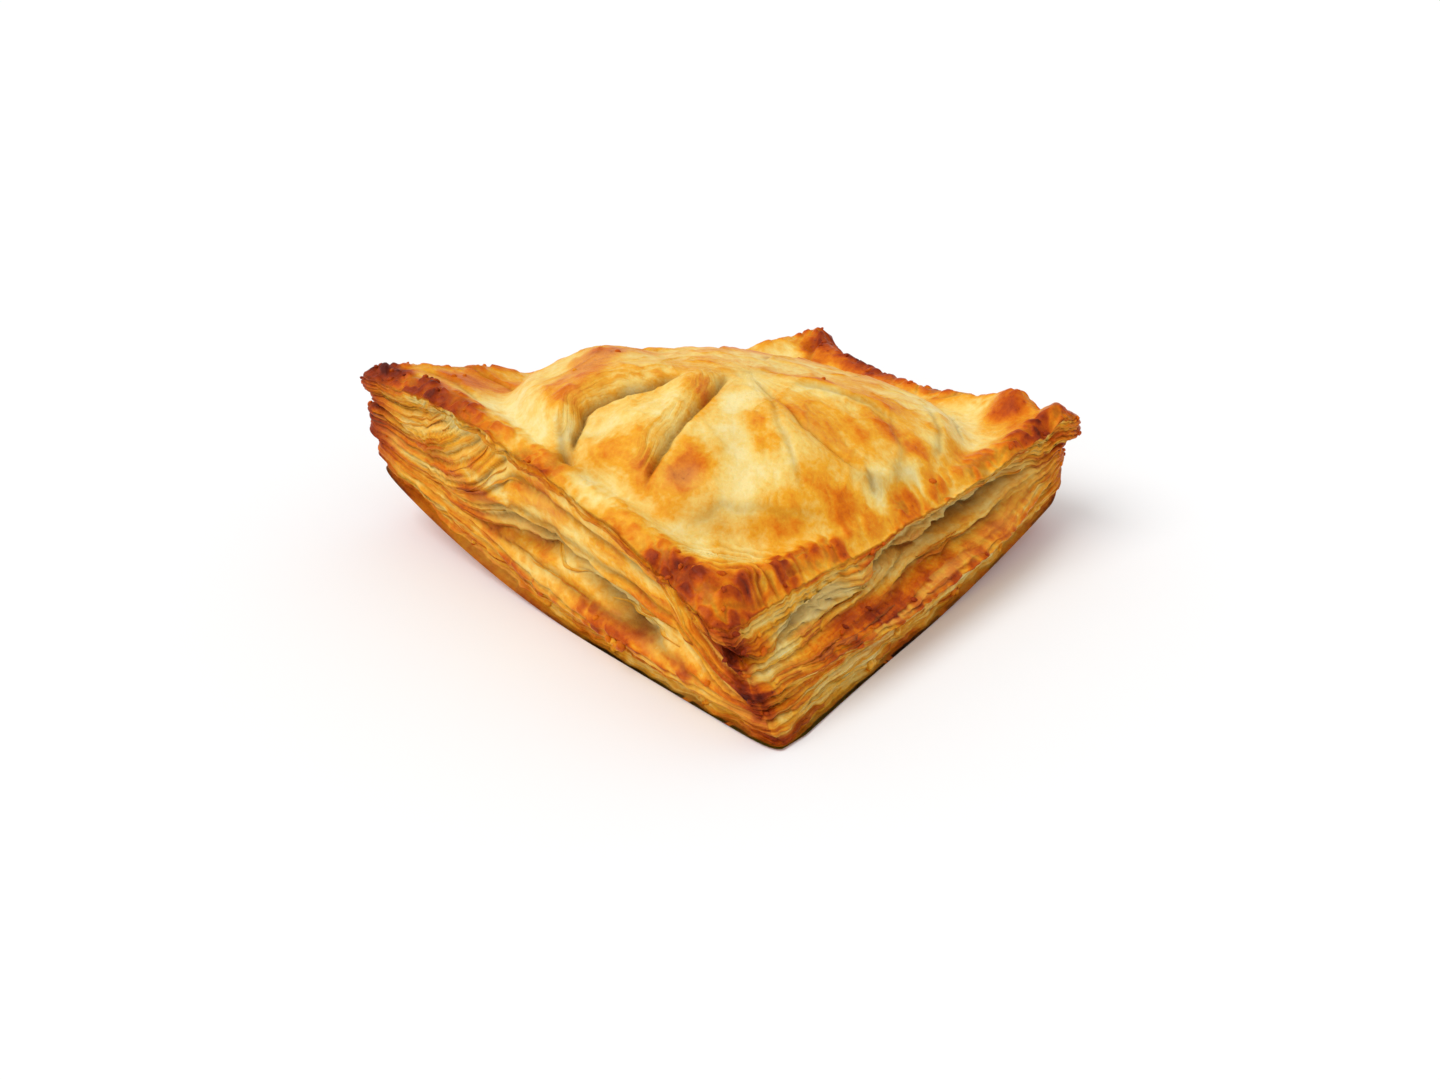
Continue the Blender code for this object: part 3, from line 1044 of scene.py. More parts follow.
    def rim_relief(self, x: Array, y: Array, level: Array) -> tuple[Array, Array]:
        """The blistered crust along the sheet's edge.

        Args:
            x: Places along X.
            y: Places along Y.
            level: How near they are to the sheet's edge, from 0 in the middle to 1.

        Returns:
            The height that it adds, and the blisters' own reading, from -0.5 to 0.5.
        """
        shaken = level + self.rim_waver * BROAD.over(self.rim_edge, x, y)
        rim = smooth_step(self.rim_start, self.rim_full, shaken)
        warp = self.blister_warp_size * BROAD.over(self.blister_warp, x, y)
        cells = np.abs(FINE.over(self.blister, x + warp, y - warp))
        blister = smooth_step(0.0, self.blister_full, cells) - 0.5
        swell = BROAD.over(self.rim_swell, x, y)
        return rim * (self.blister_height * blister + self.rim_swell_height * swell), rim * blister

    def wrinkle_relief(self, x: Array, y: Array) -> Array:
        """Fine folds that run in arcs round the front corner.

        Args:
            x: Places along X.
            y: Places along Y.

        Returns:
            Their reading, from -1 in a fold to 1 on the ridges between.
        """
        dx, dy = x - self.wrinkle_centre[0], y - self.wrinkle_centre[1]
        ring = np.hypot(dx, dy) + self.wrinkle_waver * BROAD.over(self.wrinkle_edge, x, y)
        turn = np.arctan2(dy, dx)
        here = bump((ring - self.wrinkle_ring) / self.wrinkle_width)
        here = here * bump((turn - self.wrinkle_turn) / self.wrinkle_half_turn)
        even, patchy = self.wrinkle_patchiness
        here = here * (even + patchy * BROAD.over(self.wrinkle_patch, x, y))
        wave = np.sin(2 * math.pi * ring / self.wrinkle_pitch)
        return here * (1.0 - 2.0 * np.abs(wave) ** self.wrinkle_sharpness)

    def skin(self, points: Array, level: Array) -> Skin:
        """The upper sheet with all its relief.

        Args:
            points: The plain sheet's points.
            level: How near they are to the sheet's edge, from 0 in the middle to 1.

        Returns:
            The points raised by the relief, with what the finish reads.
        """
        tint = self.tint
        x, y = points[..., 0], points[..., 1]
        reach = self.form.dome_reach(x, y)
        on_dome = smooth_step(1.0, self.dome_rim, reach)
        distance, angle = self.polar(x, y)

        wave, ripple = BROAD.over(self.wave, x, y), FINE.over(self.ripple, x, y)
        vein = 1.0 - np.abs(FINE.over(self.vein, x + self.vein_bend * wave, y))
        vein = smooth_step(self.vein_start, 1.0, vein) * on_dome
        across, around = self.spokes(angle)
        bend = self.streak_bend * wave
        streak = FINE.at(distance / self.streak_length, across + bend, around + self.streak_layer, 2)
        streak_here = smooth_step(*self.streak_start, distance) * on_dome
        height = self.wave_height * wave + self.ripple_height * ripple + self.vein_height * vein
        height += self.streak_height * streak * streak_here
        baked = self.patches(self.spots, x, y)
        rough = np.clip(self.calm_rim + self.rough_rim * baked, self.calm_rim, 1.0)
        rim_height, blister = (reading * rough for reading in self.rim_relief(x, y, level))
        wrinkle = self.wrinkle_relief(x, y)
        height += rim_height + self.wrinkle_height * wrinkle

        rim = smooth_step(self.rim_start, self.brown_rim_full, level)
        foot = bell((reach - self.foot_place) / self.foot_width)
        browning = tint.plain + tint.wave * wave + tint.ripple * ripple + tint.streak * streak * on_dome
        browning += tint.vein * vein + tint.rim * rim + tint.blister * blister + tint.dome_foot * foot
        browning += tint.wrinkle * wrinkle + baked
        # Painted shade: the colour darkens in the wrinkles' folds, in the shade patches, in the pits between
        # blisters, along the slits and along the seams
        recess = self.wrinkle_shade * np.clip(-wrinkle, 0.0, 1.0) + self.patches(self.shades, x, y)
        recess += self.pit_shade * np.clip(self.pit_reading - blister, 0.0, -self.pit_reading)
        torn = np.zeros_like(x)
        for cut in self.form.cuts:
            slit = self.slit_relief(cut, x, y)
            height += slit.height * on_dome
            recess += self.slit_shade * slit.shadow * on_dome
            if cut.drop >= self.torn_drop:
                browning += tint.torn_leaf * slit.face * slit.stripe * on_dome
                torn = np.maximum(torn, slit.face * on_dome)
                angle = angle + slit.drift * on_dome / self.spoke_grain
        for seam in self.seams:
            relief, shadow = self.seam_relief(seam, x, y)
            height += relief
            recess += self.seam_shade * shadow * min(1.0, seam.height / self.full_seam)
            browning += tint.seam * np.clip(relief / seam.height, 0.0, 1.0)
        for knob in self.knobs:
            height += knob.height * bump(np.hypot(x - knob.x, y - knob.y) / knob.radius)
        points[..., 2] += height - self.bury
        grain = np.stack([distance / self.grain_length, *self.spokes(angle)], axis=-1)
        hollow = smooth_step(*self.hollow_waves, wave) * on_dome * (1.0 - torn)
        paleness = self.hollow_paleness * hollow + self.torn_paleness * torn
        return Skin(points, browning, paleness, np.clip(recess, 0.0, 1.0), torn, grain)


@dataclass(frozen=True)
class WallTint:
    """How much each feature of the side walls adds to their browning."""

    plain: float = 0.30
    leaf: float = 0.15
    patch: float = 0.14
    ripple: float = 0.06
    lip: float = 0.10
    blister: float = 0.24
    mouth: float = -0.22
    edge: float = 0.14
    foot: float = 0.06


@dataclass
class WallCrust:
    """The surface of the side walls: leaves edge on, mouths, creases, lips and a ragged foot."""

    form: PuffForm
    tint: WallTint = WallTint()
    rows: int = 74
    smoothing: int = 13

    leaf_count: int = 24
    spare_leaves: int = 12
    spare_layers: float = 0.15
    leaf_seed: int = 5
    leaf_stride: float = 3.37
    gap_stride: float = 1.71
    patch_stride: float = 0.77
    leaf_evenness: float = 0.55
    leaf_pitch: float = 0.016
    leaf_step: float = 0.00055
    leaf_gap: float = 0.00075
    leaf_sunk: float = 0.00045
    leaf_warp: float = 0.020
    warp_pitch: float = 0.022
    warp_turn: float = 3.0
    skirt: tuple[float, float] = (0.05, 0.96)
    gap_shade: float = 0.8
    gap_pitch: float = 0.012
    gap_share: float = 0.70
    gap_change: float = 0.45
    ripple_pitch: tuple[float, float] = (0.0045, 0.0022)
    ripple_height: float = 0.00030
    patch_pitch: float = 0.010
    side_length: float = 0.11
    grain_length: float = 0.008
    grain_layers: float = 38.0
    grain_place: float = 20.0
    dough_leaves: tuple[float, float] = (0.1, -0.7)
    dough_leaf: float = 0.25
    dough_browning: tuple[float, float] = (0.75, 0.40)

    mouth_depth: float = -0.002
    mouth_shade: tuple[float, ...] = (0.16, 0.04, 0.22, 0.22)
    mouth_paleness: float = 0.85
    mouth_calm: float = 0.15
    mouth_crumple: float = 0.0008
    crumple_pitch: tuple[float, float] = (0.006, 0.0022)
    crumple_layer: float = 9.5
    lip_blister_pitch: float = 0.0030
    lip_blister_full: float = 0.60
    lip_blister_height: float = 0.00048
    crease_edge: Pattern = Pattern(0.004, 17.5, 2)
    crease_waver: float = 0.012
    crease_shade: float = 0.62
    closing_bulge: float = 0.0029
    foot_pitch: tuple[float, float] = (0.0032, 0.0040)
    foot_layer: float = 5.5
    foot_start: tuple[float, float] = (0.70, 0.92)
    foot_drawn_in: float = 0.4
    foot_ragged: float = 0.0007
    foot_brown: float = 0.88
    edge_brown: float = 0.06
    lift_place: tuple[float, float] = (0.30, 0.32)
    lift_start: float = 0.45
    lift_height: float = 0.0013
    creases: tuple[Fold, ...] = (
        *Fold.on(
            Side.LEFT,
            (0.02, 0.29, 0.13, 0.055, 0.4, -0.0020),
            (0.44, 0.59, 0.15, 0.040, -0.85, -0.0024),
            (0.66, 0.60, 0.10, 0.032, 0.80, -0.0022),
            (0.99, 0.27, 0.07, 0.075, 0.8, -0.0028),
        ),
        *Fold.on(
            Side.FRONT,
            (0.00, 0.28, 0.07, 0.075, 0.8, -0.0028),
            (0.03, 0.62, 0.08, 0.020, 0.0, -0.0012),
            (0.03, 0.70, 0.08, 0.020, 0.0, -0.0012),
            (0.03, 0.78, 0.08, 0.020, 0.0, -0.0012),
            (0.45, 0.315, 0.10, 0.030, 0.50, -0.0026),
            (0.68, 0.350, 0.17, 0.030, -0.02, -0.0024),
            (0.62, 0.45, 0.24, 0.030, 0.04, -0.0014),
            (0.30, 0.33, 0.13, 0.030, -0.20, -0.0014),
            (0.16, 0.28, 0.08, 0.030, -0.50, -0.0014),
            (0.97, 0.33, 0.12, 0.050, 0.3, -0.0018),
        ),
        *Fold.on(
            Side.RIGHT,
            (0.02, 0.33, 0.10, 0.050, 0.0, -0.0018),
            (0.50, 0.45, 0.28, 0.040, 0.10, -0.0026),
        ),
        *Fold.on(
            Side.BACK,
            (1.00, 0.29, 0.10, 0.055, 0.0, -0.0018),
            (0.60, 0.52, 0.24, 0.040, -0.20, -0.0026),
        ),
    )
    bulges: tuple[Fold, ...] = (
        *Fold.on(
            Side.LEFT,
            (0.00, 0.48, 0.08, 0.24, 0.0, 0.0012),
            (1.00, 0.09, 0.05, 0.11, 0.0, 0.0014),
            (0.00, 0.13, 0.07, 0.16, 0.0, 0.0012),
        ),
        *Fold.on(
            Side.FRONT,
            (0.11, 0.54, 0.09, 0.13, 0.0, 0.0008),
            (0.58, 0.20, 0.16, 0.07, 0.1, 0.0012),
            (0.00, 0.09, 0.05, 0.11, 0.0, 0.0014),
            (0.345, 0.18, 0.05, 0.16, 0.0, 0.0032),
            (1.00, 0.18, 0.10, 0.22, 0.0, 0.0030),
        ),
        *Fold.on(
            Side.RIGHT,
            (0.00, 0.18, 0.10, 0.22, 0.0, 0.0030),
        ),
        *Fold.on(
            Side.BACK,
            (1.00, 0.48, 0.10, 0.24, 0.0, 0.0012),
            (1.00, 0.13, 0.07, 0.16, 0.0, 0.0012),
        ),
    )
    wall_spots: tuple[WallSpot, ...] = (
        *WallSpot.on(
            Side.LEFT,
            (0.01, 0.48, 0.06, 0.40, 0.36),
            (0.33, 0.10, 0.27, 0.08, -0.20),
            (0.33, 0.37, 0.13, 0.06, -0.12),
            (0.30, 0.68, 0.16, 0.08, 0.08),
            (0.66, 0.68, 0.12, 0.07, 0.16),
            (0.86, 0.62, 0.10, 0.12, -0.06),
            (0.985, 0.50, 0.035, 0.45, 0.36),
            (0.97, 0.97, 0.06, 0.07, 0.26),
            (0.10, 0.04, 0.06, 0.06, 0.14),
            (0.50, 0.14, 0.10, 0.06, 0.12),
            (0.84, 0.05, 0.12, 0.08, 0.14),
            (0.93, 0.48, 0.05, 0.38, 0.16),
            # Painted shade: darker where the knob at the front corner overhangs the wall
            (0.96, 0.26, 0.035, 0.12, 0.26),
            (0.98, 0.58, 0.030, 0.22, 0.22),
            (0.20, 0.45, 0.10, 0.10, 0.16),
            (0.05, 0.50, 0.05, 0.30, 0.16),
            (0.02, 0.12, 0.05, 0.12, 0.26),
            (0.325, 0.52, 0.06, 0.06, 0.14),
            (0.44, 0.56, 0.06, 0.06, 0.12),
            (0.655, 0.36, 0.06, 0.06, -0.14),
            (0.335, 0.48, 0.07, 0.08, 0.22),
        ),
        *WallSpot.on(
            Side.FRONT,
            (0.015, 0.62, 0.025, 0.14, 0.24),
            (0.98, 0.12, 0.06, 0.14, 0.18),
            (0.01, 0.45, 0.03, 0.50, 0.28),
            (0.03, 0.97, 0.05, 0.07, 0.30),
            # Painted shade: darker where the knob at the front corner overhangs the wall
            (0.02, 0.14, 0.05, 0.14, 0.30),
            (0.375, 0.24, 0.05, 0.05, 0.08),
            (0.30, 0.44, 0.05, 0.05, 0.16),
            (0.17, 0.345, 0.04, 0.05, 0.20),
            (0.345, 0.18, 0.04, 0.12, 0.08),
            (0.10, 0.52, 0.05, 0.10, 0.12),
            (0.19, 0.23, 0.07, 0.10, -0.26),
            (0.11, 0.38, 0.05, 0.05, -0.20),
            (0.05, 0.72, 0.06, 0.14, 0.15),
            (0.48, 0.51, 0.28, 0.07, 0.17),
            (0.24, 0.43, 0.06, 0.06, 0.18),
            (0.36, 0.465, 0.06, 0.05, 0.14),
            (0.45, 0.82, 0.34, 0.12, -0.22),
            (0.96, 0.45, 0.08, 0.45, 0.14),
        ),
        *WallSpot.on(
            Side.RIGHT,
            (0.03, 0.50, 0.08, 0.50, 0.20),
            (0.50, 0.64, 0.44, 0.10, 0.22),
            (0.97, 0.50, 0.07, 0.50, 0.24),
        ),
        *WallSpot.on(
            Side.BACK,
            (0.03, 0.50, 0.07, 0.50, 0.24),
            (0.50, 0.72, 0.42, 0.10, 0.18),
            (0.98, 0.50, 0.07, 0.45, 0.32),
        ),
    )

    def leaf_reading(self, x: Array, y: Array, layer: Array) -> tuple[Array, Array, Array]:
        """Reads the leaves of the wall at a layer coordinate.

        Args:
            x: Places along X.
            y: Places along Y.
            layer: The layer coordinate, from 0 at the top to 1 at the base.

        Returns:
            How far the leaf there stands out, how open the gap beside it is, and its number.
        """
        draw = np.random.default_rng(self.leaf_seed)
        thickness = 1.0 + self.leaf_evenness * draw.uniform(-1.0, 1.0, self.leaf_count + self.spare_leaves)
        edges = np.concatenate([[0.0], np.cumsum(thickness)]) / self.leaf_count
        shifted = np.clip(layer + self.spare_layers, 0.0, edges[-1] - 1e-6)
        number = np.searchsorted(edges, shifted, side="right") - 1
        part = (shifted - edges[number]) / (edges[number + 1] - edges[number])
        out = FINE.at(x / self.leaf_pitch, y / self.leaf_pitch, number * self.leaf_stride, 2)
        even_number = np.round(layer * self.leaf_count)
        opening = BROAD.at(x / self.gap_pitch, y / self.gap_pitch, even_number * self.gap_stride)
        opening = np.clip(self.gap_share + self.gap_change * opening, 0.0, 1.0)
        return out, (1.0 - plateau(2.0 * part - 1.0)) * opening, number

    def mouths_and_lips(self, side: Array, share: Array, level: Array) -> tuple[Array, Array]:
        """Reads the form's own folds.

        Args:
            side: Each place's side.
            share: Its place along the side.
            level: Its level.

        Returns:
            How deep in a mouth and how far out on a lip each place is, from 0 to 1.
        """
        mouth, lip = np.zeros_like(level), np.zeros_like(level)
        for fold in self.form.folds:
            if fold.out < self.mouth_depth:
                mouth = np.maximum(mouth, fold.on_its_side(side, share, level))
            elif fold.out > 0:
                lip = np.maximum(lip, fold.on_its_side(side, share, level))
        for fold in self.bulges:
            if fold.out > self.closing_bulge:
                mouth = mouth * (1.0 - fold.on_its_side(side, share, level))
        return mouth, lip

    def skin(self, top: Array, foot: Array, side: Array, share: Array) -> Skin:
        """The side wall, row under row, from just under the sheet's edge to the base.

        Args:
            top: The ring of points along the sheet's edge.
            foot: The ring of points along the base.
            side: Each column's side.
            share: Each column's place along its side.

        Returns:
            The skin, one row of points for each level.
        """
        tint = self.tint
        along = np.roll(top, -self.smoothing, axis=0) - np.roll(top, self.smoothing, axis=0)
        normal = np.stack([along[:, 1], -along[:, 0]], axis=1)
        normal /= np.linalg.norm(normal, axis=1, keepdims=True)
        level = (np.arange(1, self.rows + 1) / self.rows)[:, None] * np.ones(len(share))
        side, share = side * np.ones_like(level), share * np.ones_like(level)
        points = top * (1 - level[..., None]) + foot * level[..., None]
        x, y, height = points[..., 0], points[..., 1], points[..., 2].copy()

        layer = self.form.leaf_level(side, share, level)
        spacing = 1.0 - self.form.slant(side, share) / self.form.slant_depth
        warp = BROAD.at(x / self.warp_pitch, y / self.warp_pitch, self.warp_turn * level, 2)
        layer = layer + self.leaf_warp * spacing * warp
        out, gap, number = self.leaf_reading(x, y, layer)
        mouth, lip = self.mouths_and_lips(side, share, level)
        shaken = level + self.crease_waver * FINE.over(self.crease_edge, x, y)
        crease, depth = np.zeros_like(level), np.zeros_like(level)
        for fold in self.creases:
            reading = fold.on_its_side(side, share, shaken)
            crease = np.maximum(crease, reading)
            depth = np.minimum(depth, fold.out * reading)
        under_sheet = smooth_step(0.0, self.skirt[0], level)
        skirt = under_sheet * smooth_step(1.0, self.skirt[1], level)
        calm = skirt * (1.0 - self.mouth_calm * mouth)

        # The noise that crosses the wall is sheared, so that its cells don't line up with a side
        wide, tall = self.ripple_pitch
        ripple = FINE.at(x / wide, y / wide, height / tall, 2)
        sheared = np.array([x + 0.6 * height, y + 0.8 * height, height - 0.7 * y]) / self.lip_blister_pitch
        blister = (smooth_step(0.0, self.lip_blister_full, np.abs(FINE.at(*sheared, 2))) - 0.5) * lip
        wide, tall = self.crumple_pitch
        up = (height + 0.3 * y) / tall + self.crumple_layer
        crumple = 1.0 - 2.0 * np.abs(FINE.at(x / wide, (y + height) / wide, up, 3))
        wide, tall = self.foot_pitch
        rag = FINE.at(x / wide, y / wide, height / tall + self.foot_layer, 3) - self.foot_drawn_in

        offset = self.form.wall_offset(side, share, level) - self.leaf_sunk * under_sheet
        offset += calm * (self.leaf_step * out - self.leaf_gap * gap + self.ripple_height * ripple)
        offset += self.lip_blister_height * blister + depth + self.mouth_crumple * crumple * mouth
        offset += self.foot_ragged * rag * smooth_step(*self.foot_start, level)
        for fold in self.bulges:
            offset += fold.out * fold.on_its_side(side, share, level)
        points[..., :2] += normal * offset[..., None]
        points[..., 2] = np.maximum(points[..., 2], foot[:, 2])
        middle, half = self.lift_place
        lift = self.lift_height * bump((share - middle) / half) * smooth_step(self.lift_start, 1.0, level)
        points[..., 2] += np.where(side == Side.LEFT.value, lift, 0.0)

        edge = smooth_step(self.edge_brown, 0.0, level)
        patch = BROAD.at(x / self.patch_pitch, y / self.patch_pitch, number * self.patch_stride)
        browning = tint.plain + tint.leaf * out + tint.patch * patch + tint.ripple * ripple + tint.lip * lip
        browning += tint.blister * blister + tint.mouth * mouth + tint.edge * edge
        browning += tint.foot * smooth_step(self.foot_brown, 1.0, level)
        browning += sum(spot.reading(side, share, level) for spot in self.wall_spots)
        paleness = self.mouth_paleness * mouth + self.dough_leaf * smooth_step(*self.dough_leaves, out)
        paleness = np.clip(paleness, 0.0, 1.0) * (1.0 - edge) * smooth_step(*self.dough_browning, browning)
        # Painted shade: the colour darkens in the gaps between leaves, in the mouths and in the creases
        shade = np.array(self.mouth_shade)[side.astype(int)]
        recess = self.gap_shade * gap * skirt + shade * mouth + self.crease_shade * crease
        run = (side + share) * self.side_length / self.grain_length
        grain = np.stack([run, layer * self.grain_layers, np.full_like(layer, self.grain_place)], axis=-1)
        return Skin(points, browning, paleness, np.clip(recess, 0.0, 1.0), np.ones_like(level), grain)


@dataclass
class Crust:
    """The whole skin of the puff: upper sheet, laminated walls and underside, as two pieces that meet along
    the sheet's edge.
    """

    form: PuffForm
    cells: int = 290
    base_rings: tuple[float, ...] = (0.985, 0.95, 0.90, 0.83, 0.76, 0.67, 0.58)
    edge_crowding: float = 0.25
    base_browning: float = 0.56
    base_mottle: Pattern = Pattern(0.009, 6.5, 3)
    base_mottling: float = 0.14
    base_grain: float = 0.004
    base_grain_place: float = 40.0
    roundings: tuple[Rounding, ...] = (
        Rounding(0.0515, 0.0530, 0.0100, 0.0022),
        Rounding(0.0550, 0.0470, 0.0050, -0.0010),
        Rounding(-0.0360, 0.0615, 0.0080, 0.0012),
    )

    def __post_init__(self) -> None:
        """Takes the surfaces of the sheet and of the walls on the same form."""
        self.sheet = SheetCrust(self.form)
        self.walls = WallCrust(self.form)

    def nipped(self, points: Array) -> Array:
        """Rounds the corners off, in plan.

        Args:
            points: Points of the sheet or of the base, which are moved.

        Returns:
            The same points.
        """
        x, y = points[..., 0].copy(), points[..., 1].copy()
        for place in self.roundings:
            pull = place.pull * bump(np.hypot(x - place.x, y - place.y) / place.radius)
            away = math.hypot(place.x, place.y)
            points[..., 0] -= pull * place.x / away
            points[..., 1] -= pull * place.y / away
        return points

    def crowded(self, run: Array) -> Array:
        """Spreads an even run from -1 to 1 so that its points crowd towards the ends."""
        return (1.0 - self.edge_crowding) * run + self.edge_crowding * np.sin(run * math.pi / 2)

    def base_skin(self, p: Array, q: Array) -> Skin:
        """Rings of the underside, from its outline inwards.

        Args:
            p: The outline's places, first coordinate.
            q: The outline's places, second coordinate.

        Returns:
            The skin, one row of points for each ring.
        """
        points = self.nipped(np.array([self.form.base(p * ring, q * ring) for ring in self.base_rings]))
        x, y = points[..., 0], points[..., 1]
        browning = self.base_browning + self.base_mottling * BROAD.over(self.base_mottle, x, y)
        zero = np.zeros_like(browning)
        grain = np.stack([x / self.base_grain, y / self.base_grain, zero + self.base_grain_place], axis=-1)
        return Skin(points, browning, zero, zero.copy(), zero.copy(), grain)

    @staticmethod
    def point_normals(points: Array, quads: Array) -> Array:
        """The direction that the surface faces at each point.

        Args:
            points: The surface's points.
            quads: Its faces, as indices of points.

        Returns:
            The mean direction of the faces round each point.
        """
        corner = points[quads]
        facing = np.cross(corner[:, 2] - corner[:, 0], corner[:, 3] - corner[:, 1])
        total = np.zeros_like(points)
        for place in range(4):
            np.add.at(total, quads[:, place], facing)
        return total / np.maximum(np.linalg.norm(total, axis=1, keepdims=True), 1e-12)

    def build(self, material: bpy.types.Material) -> list[bpy.types.Object]:
        """Builds the crust in its finish.

        Args:
            material: The finish.

        Returns:
            The upper sheet, and the sides with the base.
        """
        n = self.cells
        run = self.crowded(np.linspace(-1.0, 1.0, n + 1))
        p, q = np.meshgrid(run, run)
        plain_sheet = self.nipped(self.form.sheet(p, q))
        sheet = self.sheet.skin(plain_sheet, np.maximum(np.abs(p), np.abs(q))).flat()
        index = np.arange((n + 1) ** 2).reshape(n + 1, n + 1)
        ring = np.concatenate([index[0, :n], index[:n, n], index[n, n:0:-1], index[n:0:-1, 0]])
        p, q = p.ravel()[ring], q.ravel()[ring]
        side = np.repeat(np.arange(4), n)
        share = np.tile((run[:-1] + 1.0) / 2.0, 4)
        share[2 * n :] = np.tile((1.0 - run[:0:-1]) / 2.0, 2)
        self.wall = self.walls.skin(sheet.points[ring], self.nipped(self.form.base(p, q)), side, share)
        sides = Skin.join([self.wall, self.base_skin(p, q)])
        self.skin = Skin.join([sheet, sides])
        self.skin.points = np.clip(self.skin.points, *CAD_BOX)

        # The faces of the sheet, and of the rows of the walls and the rings of the base under its edge
        upper = grid_faces(index[:-1, :-1], index[:-1, 1:], index[1:, 1:], index[1:, :-1])
        rows = np.vstack([ring, len(sheet.points) + np.arange(len(sides.points)).reshape(-1, 4 * n)])
        after = np.roll(rows, -1, axis=1)
        lower = grid_faces(rows[:-1], rows[1:], after[1:], after[:-1])
        self.normals = self.point_normals(self.skin.points, np.concatenate([upper, lower]))

        used = np.concatenate([ring, np.arange(len(sheet.points), len(self.skin.points))])
        renumbered = np.zeros(len(self.skin.points), int)
        renumbered[used] = np.arange(len(used))
        under = renumbered[rows[-1][::-1]].tolist()
        whole = np.arange(len(sheet.points))
        side_faces = renumbered[lower].tolist() + [under]
        return [
            make_piece("upper_crust", self.skin.chosen(whole), upper.tolist(), material, self.normals[whole]),
            make_piece("side_crust", self.skin.chosen(used), side_faces, material, self.normals[used]),
        ]


class Wire:
    """A shader value that takes part in sums written in Python."""

    def __init__(self, tree: "Tree", socket: bpy.types.NodeSocket) -> None:
        """Wraps an output socket.

        Args:
            tree: The tree that the socket is in.
            socket: The output socket.
        """
        self.tree = tree
        self.socket = socket

    def _sum(self, operation: str, first: Any, second: Any) -> "Wire":
        """Adds a Math node on two values."""
        node = self.tree.node("ShaderNodeMath", {"operation": operation}, {0: first, 1: second})
        return Wire(self.tree, node.outputs[0])

    def __add__(self, other: Any) -> "Wire":
        """self + other."""
        return self._sum("ADD", self, other)

    __radd__ = __add__

    def __sub__(self, other: Any) -> "Wire":
        """self - other."""
        return self._sum("SUBTRACT", self, other)

    def __rsub__(self, other: Any) -> "Wire":
        """other - self."""
        return self._sum("SUBTRACT", other, self)

    def __mul__(self, other: Any) -> "Wire":
        """self * other."""
        return self._sum("MULTIPLY", self, other)

    __rmul__ = __mul__

    def between(self, low: float, high: float) -> "Wire":
        """A smooth step of the value.

        Args:
            low: Where the step starts.
            high: Where it ends.

        Returns:
            0 up to low, and 1 from high.
        """
        inputs = {"Value": self, "From Min": low, "From Max": high}
        node = self.tree.node("ShaderNodeMapRange", {"interpolation_type": "SMOOTHSTEP"}, inputs)
        return Wire(self.tree, node.outputs[0])


Colour = tuple[float, float, float]


def linear(red: int, green: int, blue: int) -> Colour:
    """A linear colour from screen values of 0 to 255."""
    shares = (red / 255, green / 255, blue / 255)
    return tuple(((v + 0.055) / 1.055) ** 2.4 if v > 0.04 else v / 12.92 for v in shares)


class Tree:
    """A material's node tree."""

    def __init__(self, material: bpy.types.Material) -> None:
        """Takes a new material's tree, with its shader.

        Args:
            material: The material.
        """
        material.use_nodes = True
        self.nodes = material.node_tree.nodes
        self.links = material.node_tree.links
        self.shader = self.nodes["Principled BSDF"]

    def join(self, socket: bpy.types.NodeSocket, value: Any) -> None:
        """Sets an input socket to a value, or links it to a wire or an output.

        Args:
            socket: The input socket.
            value: The number, colour, wire or output socket.
        """
        if isinstance(value, Wire):
            value = value.socket
        if isinstance(value, bpy.types.NodeSocket):
            self.links.new(value, socket)
        elif isinstance(value, tuple) and socket.type == "RGBA":
            socket.default_value = (*value, 1.0)
        else:
            socket.default_value = value

    def node(self, kind: str, settings: dict[str, Any], inputs: dict[Any, Any]) -> bpy.types.Node:
        """Makes a node.

        Args:
            kind: The node's type.
            settings: Its settings, set first. "stops" are a ramp's positions and colours.
            inputs: Values or links of its sockets, by name or number.

        Returns:
            The node.
        """
        node = self.nodes.new(kind)
        for name, value in settings.items():
            if name == "stops":
                ramp = node.color_ramp
                while len(ramp.elements) < len(value):
                    ramp.elements.new(1.0)
                for element, (place, colour) in zip(ramp.elements, value):
                    element.position = place
                    element.color = (*colour, 1.0)
            else:
                setattr(node, name, value)
        for name, value in inputs.items():
            self.join(node.inputs[name], value)
        return node

    def attribute(self, name: str, output: str = "Fac") -> Wire:
        """A value that the mesh carries."""
        node = self.node("ShaderNodeAttribute", {"attribute_name": name}, {})
        return Wire(self, node.outputs[output])

    def noise(self, place: Wire, scale: float, detail: float, roughness: float = 0.5) -> Wire:
        """Noise about 0.

        Args:
            place: The vector that it is read at.
            scale: Its scale.
            detail: How many finer layers it has.
            roughness: How strong they are.

        Returns:
            Its value, from -0.5 to 0.5.
        """
        inputs = {"Vector": place, "Scale": scale, "Detail": detail, "Roughness": roughness}
        node = self.node("ShaderNodeTexNoise", {"noise_dimensions": "3D"}, inputs)
        return Wire(self, node.outputs["Fac"]) - 0.5

    def mix(self, first: Any, second: Any, share: Any, blend: str = "MIX") -> Wire:
        """A mix of two colours.

        Args:
            first: The colour at a share of 0.
            second: The colour at a share of 1.
            share: The share.
            blend: How they are blended.

        Returns:
            The mixed colour.
        """
        settings = {"data_type": "RGBA", "blend_type": blend}
        node = self.node("ShaderNodeMix", settings, {"Factor": share})
        self.join(node.inputs[6], first)
        self.join(node.inputs[7], second)
        return Wire(self, node.outputs[2])


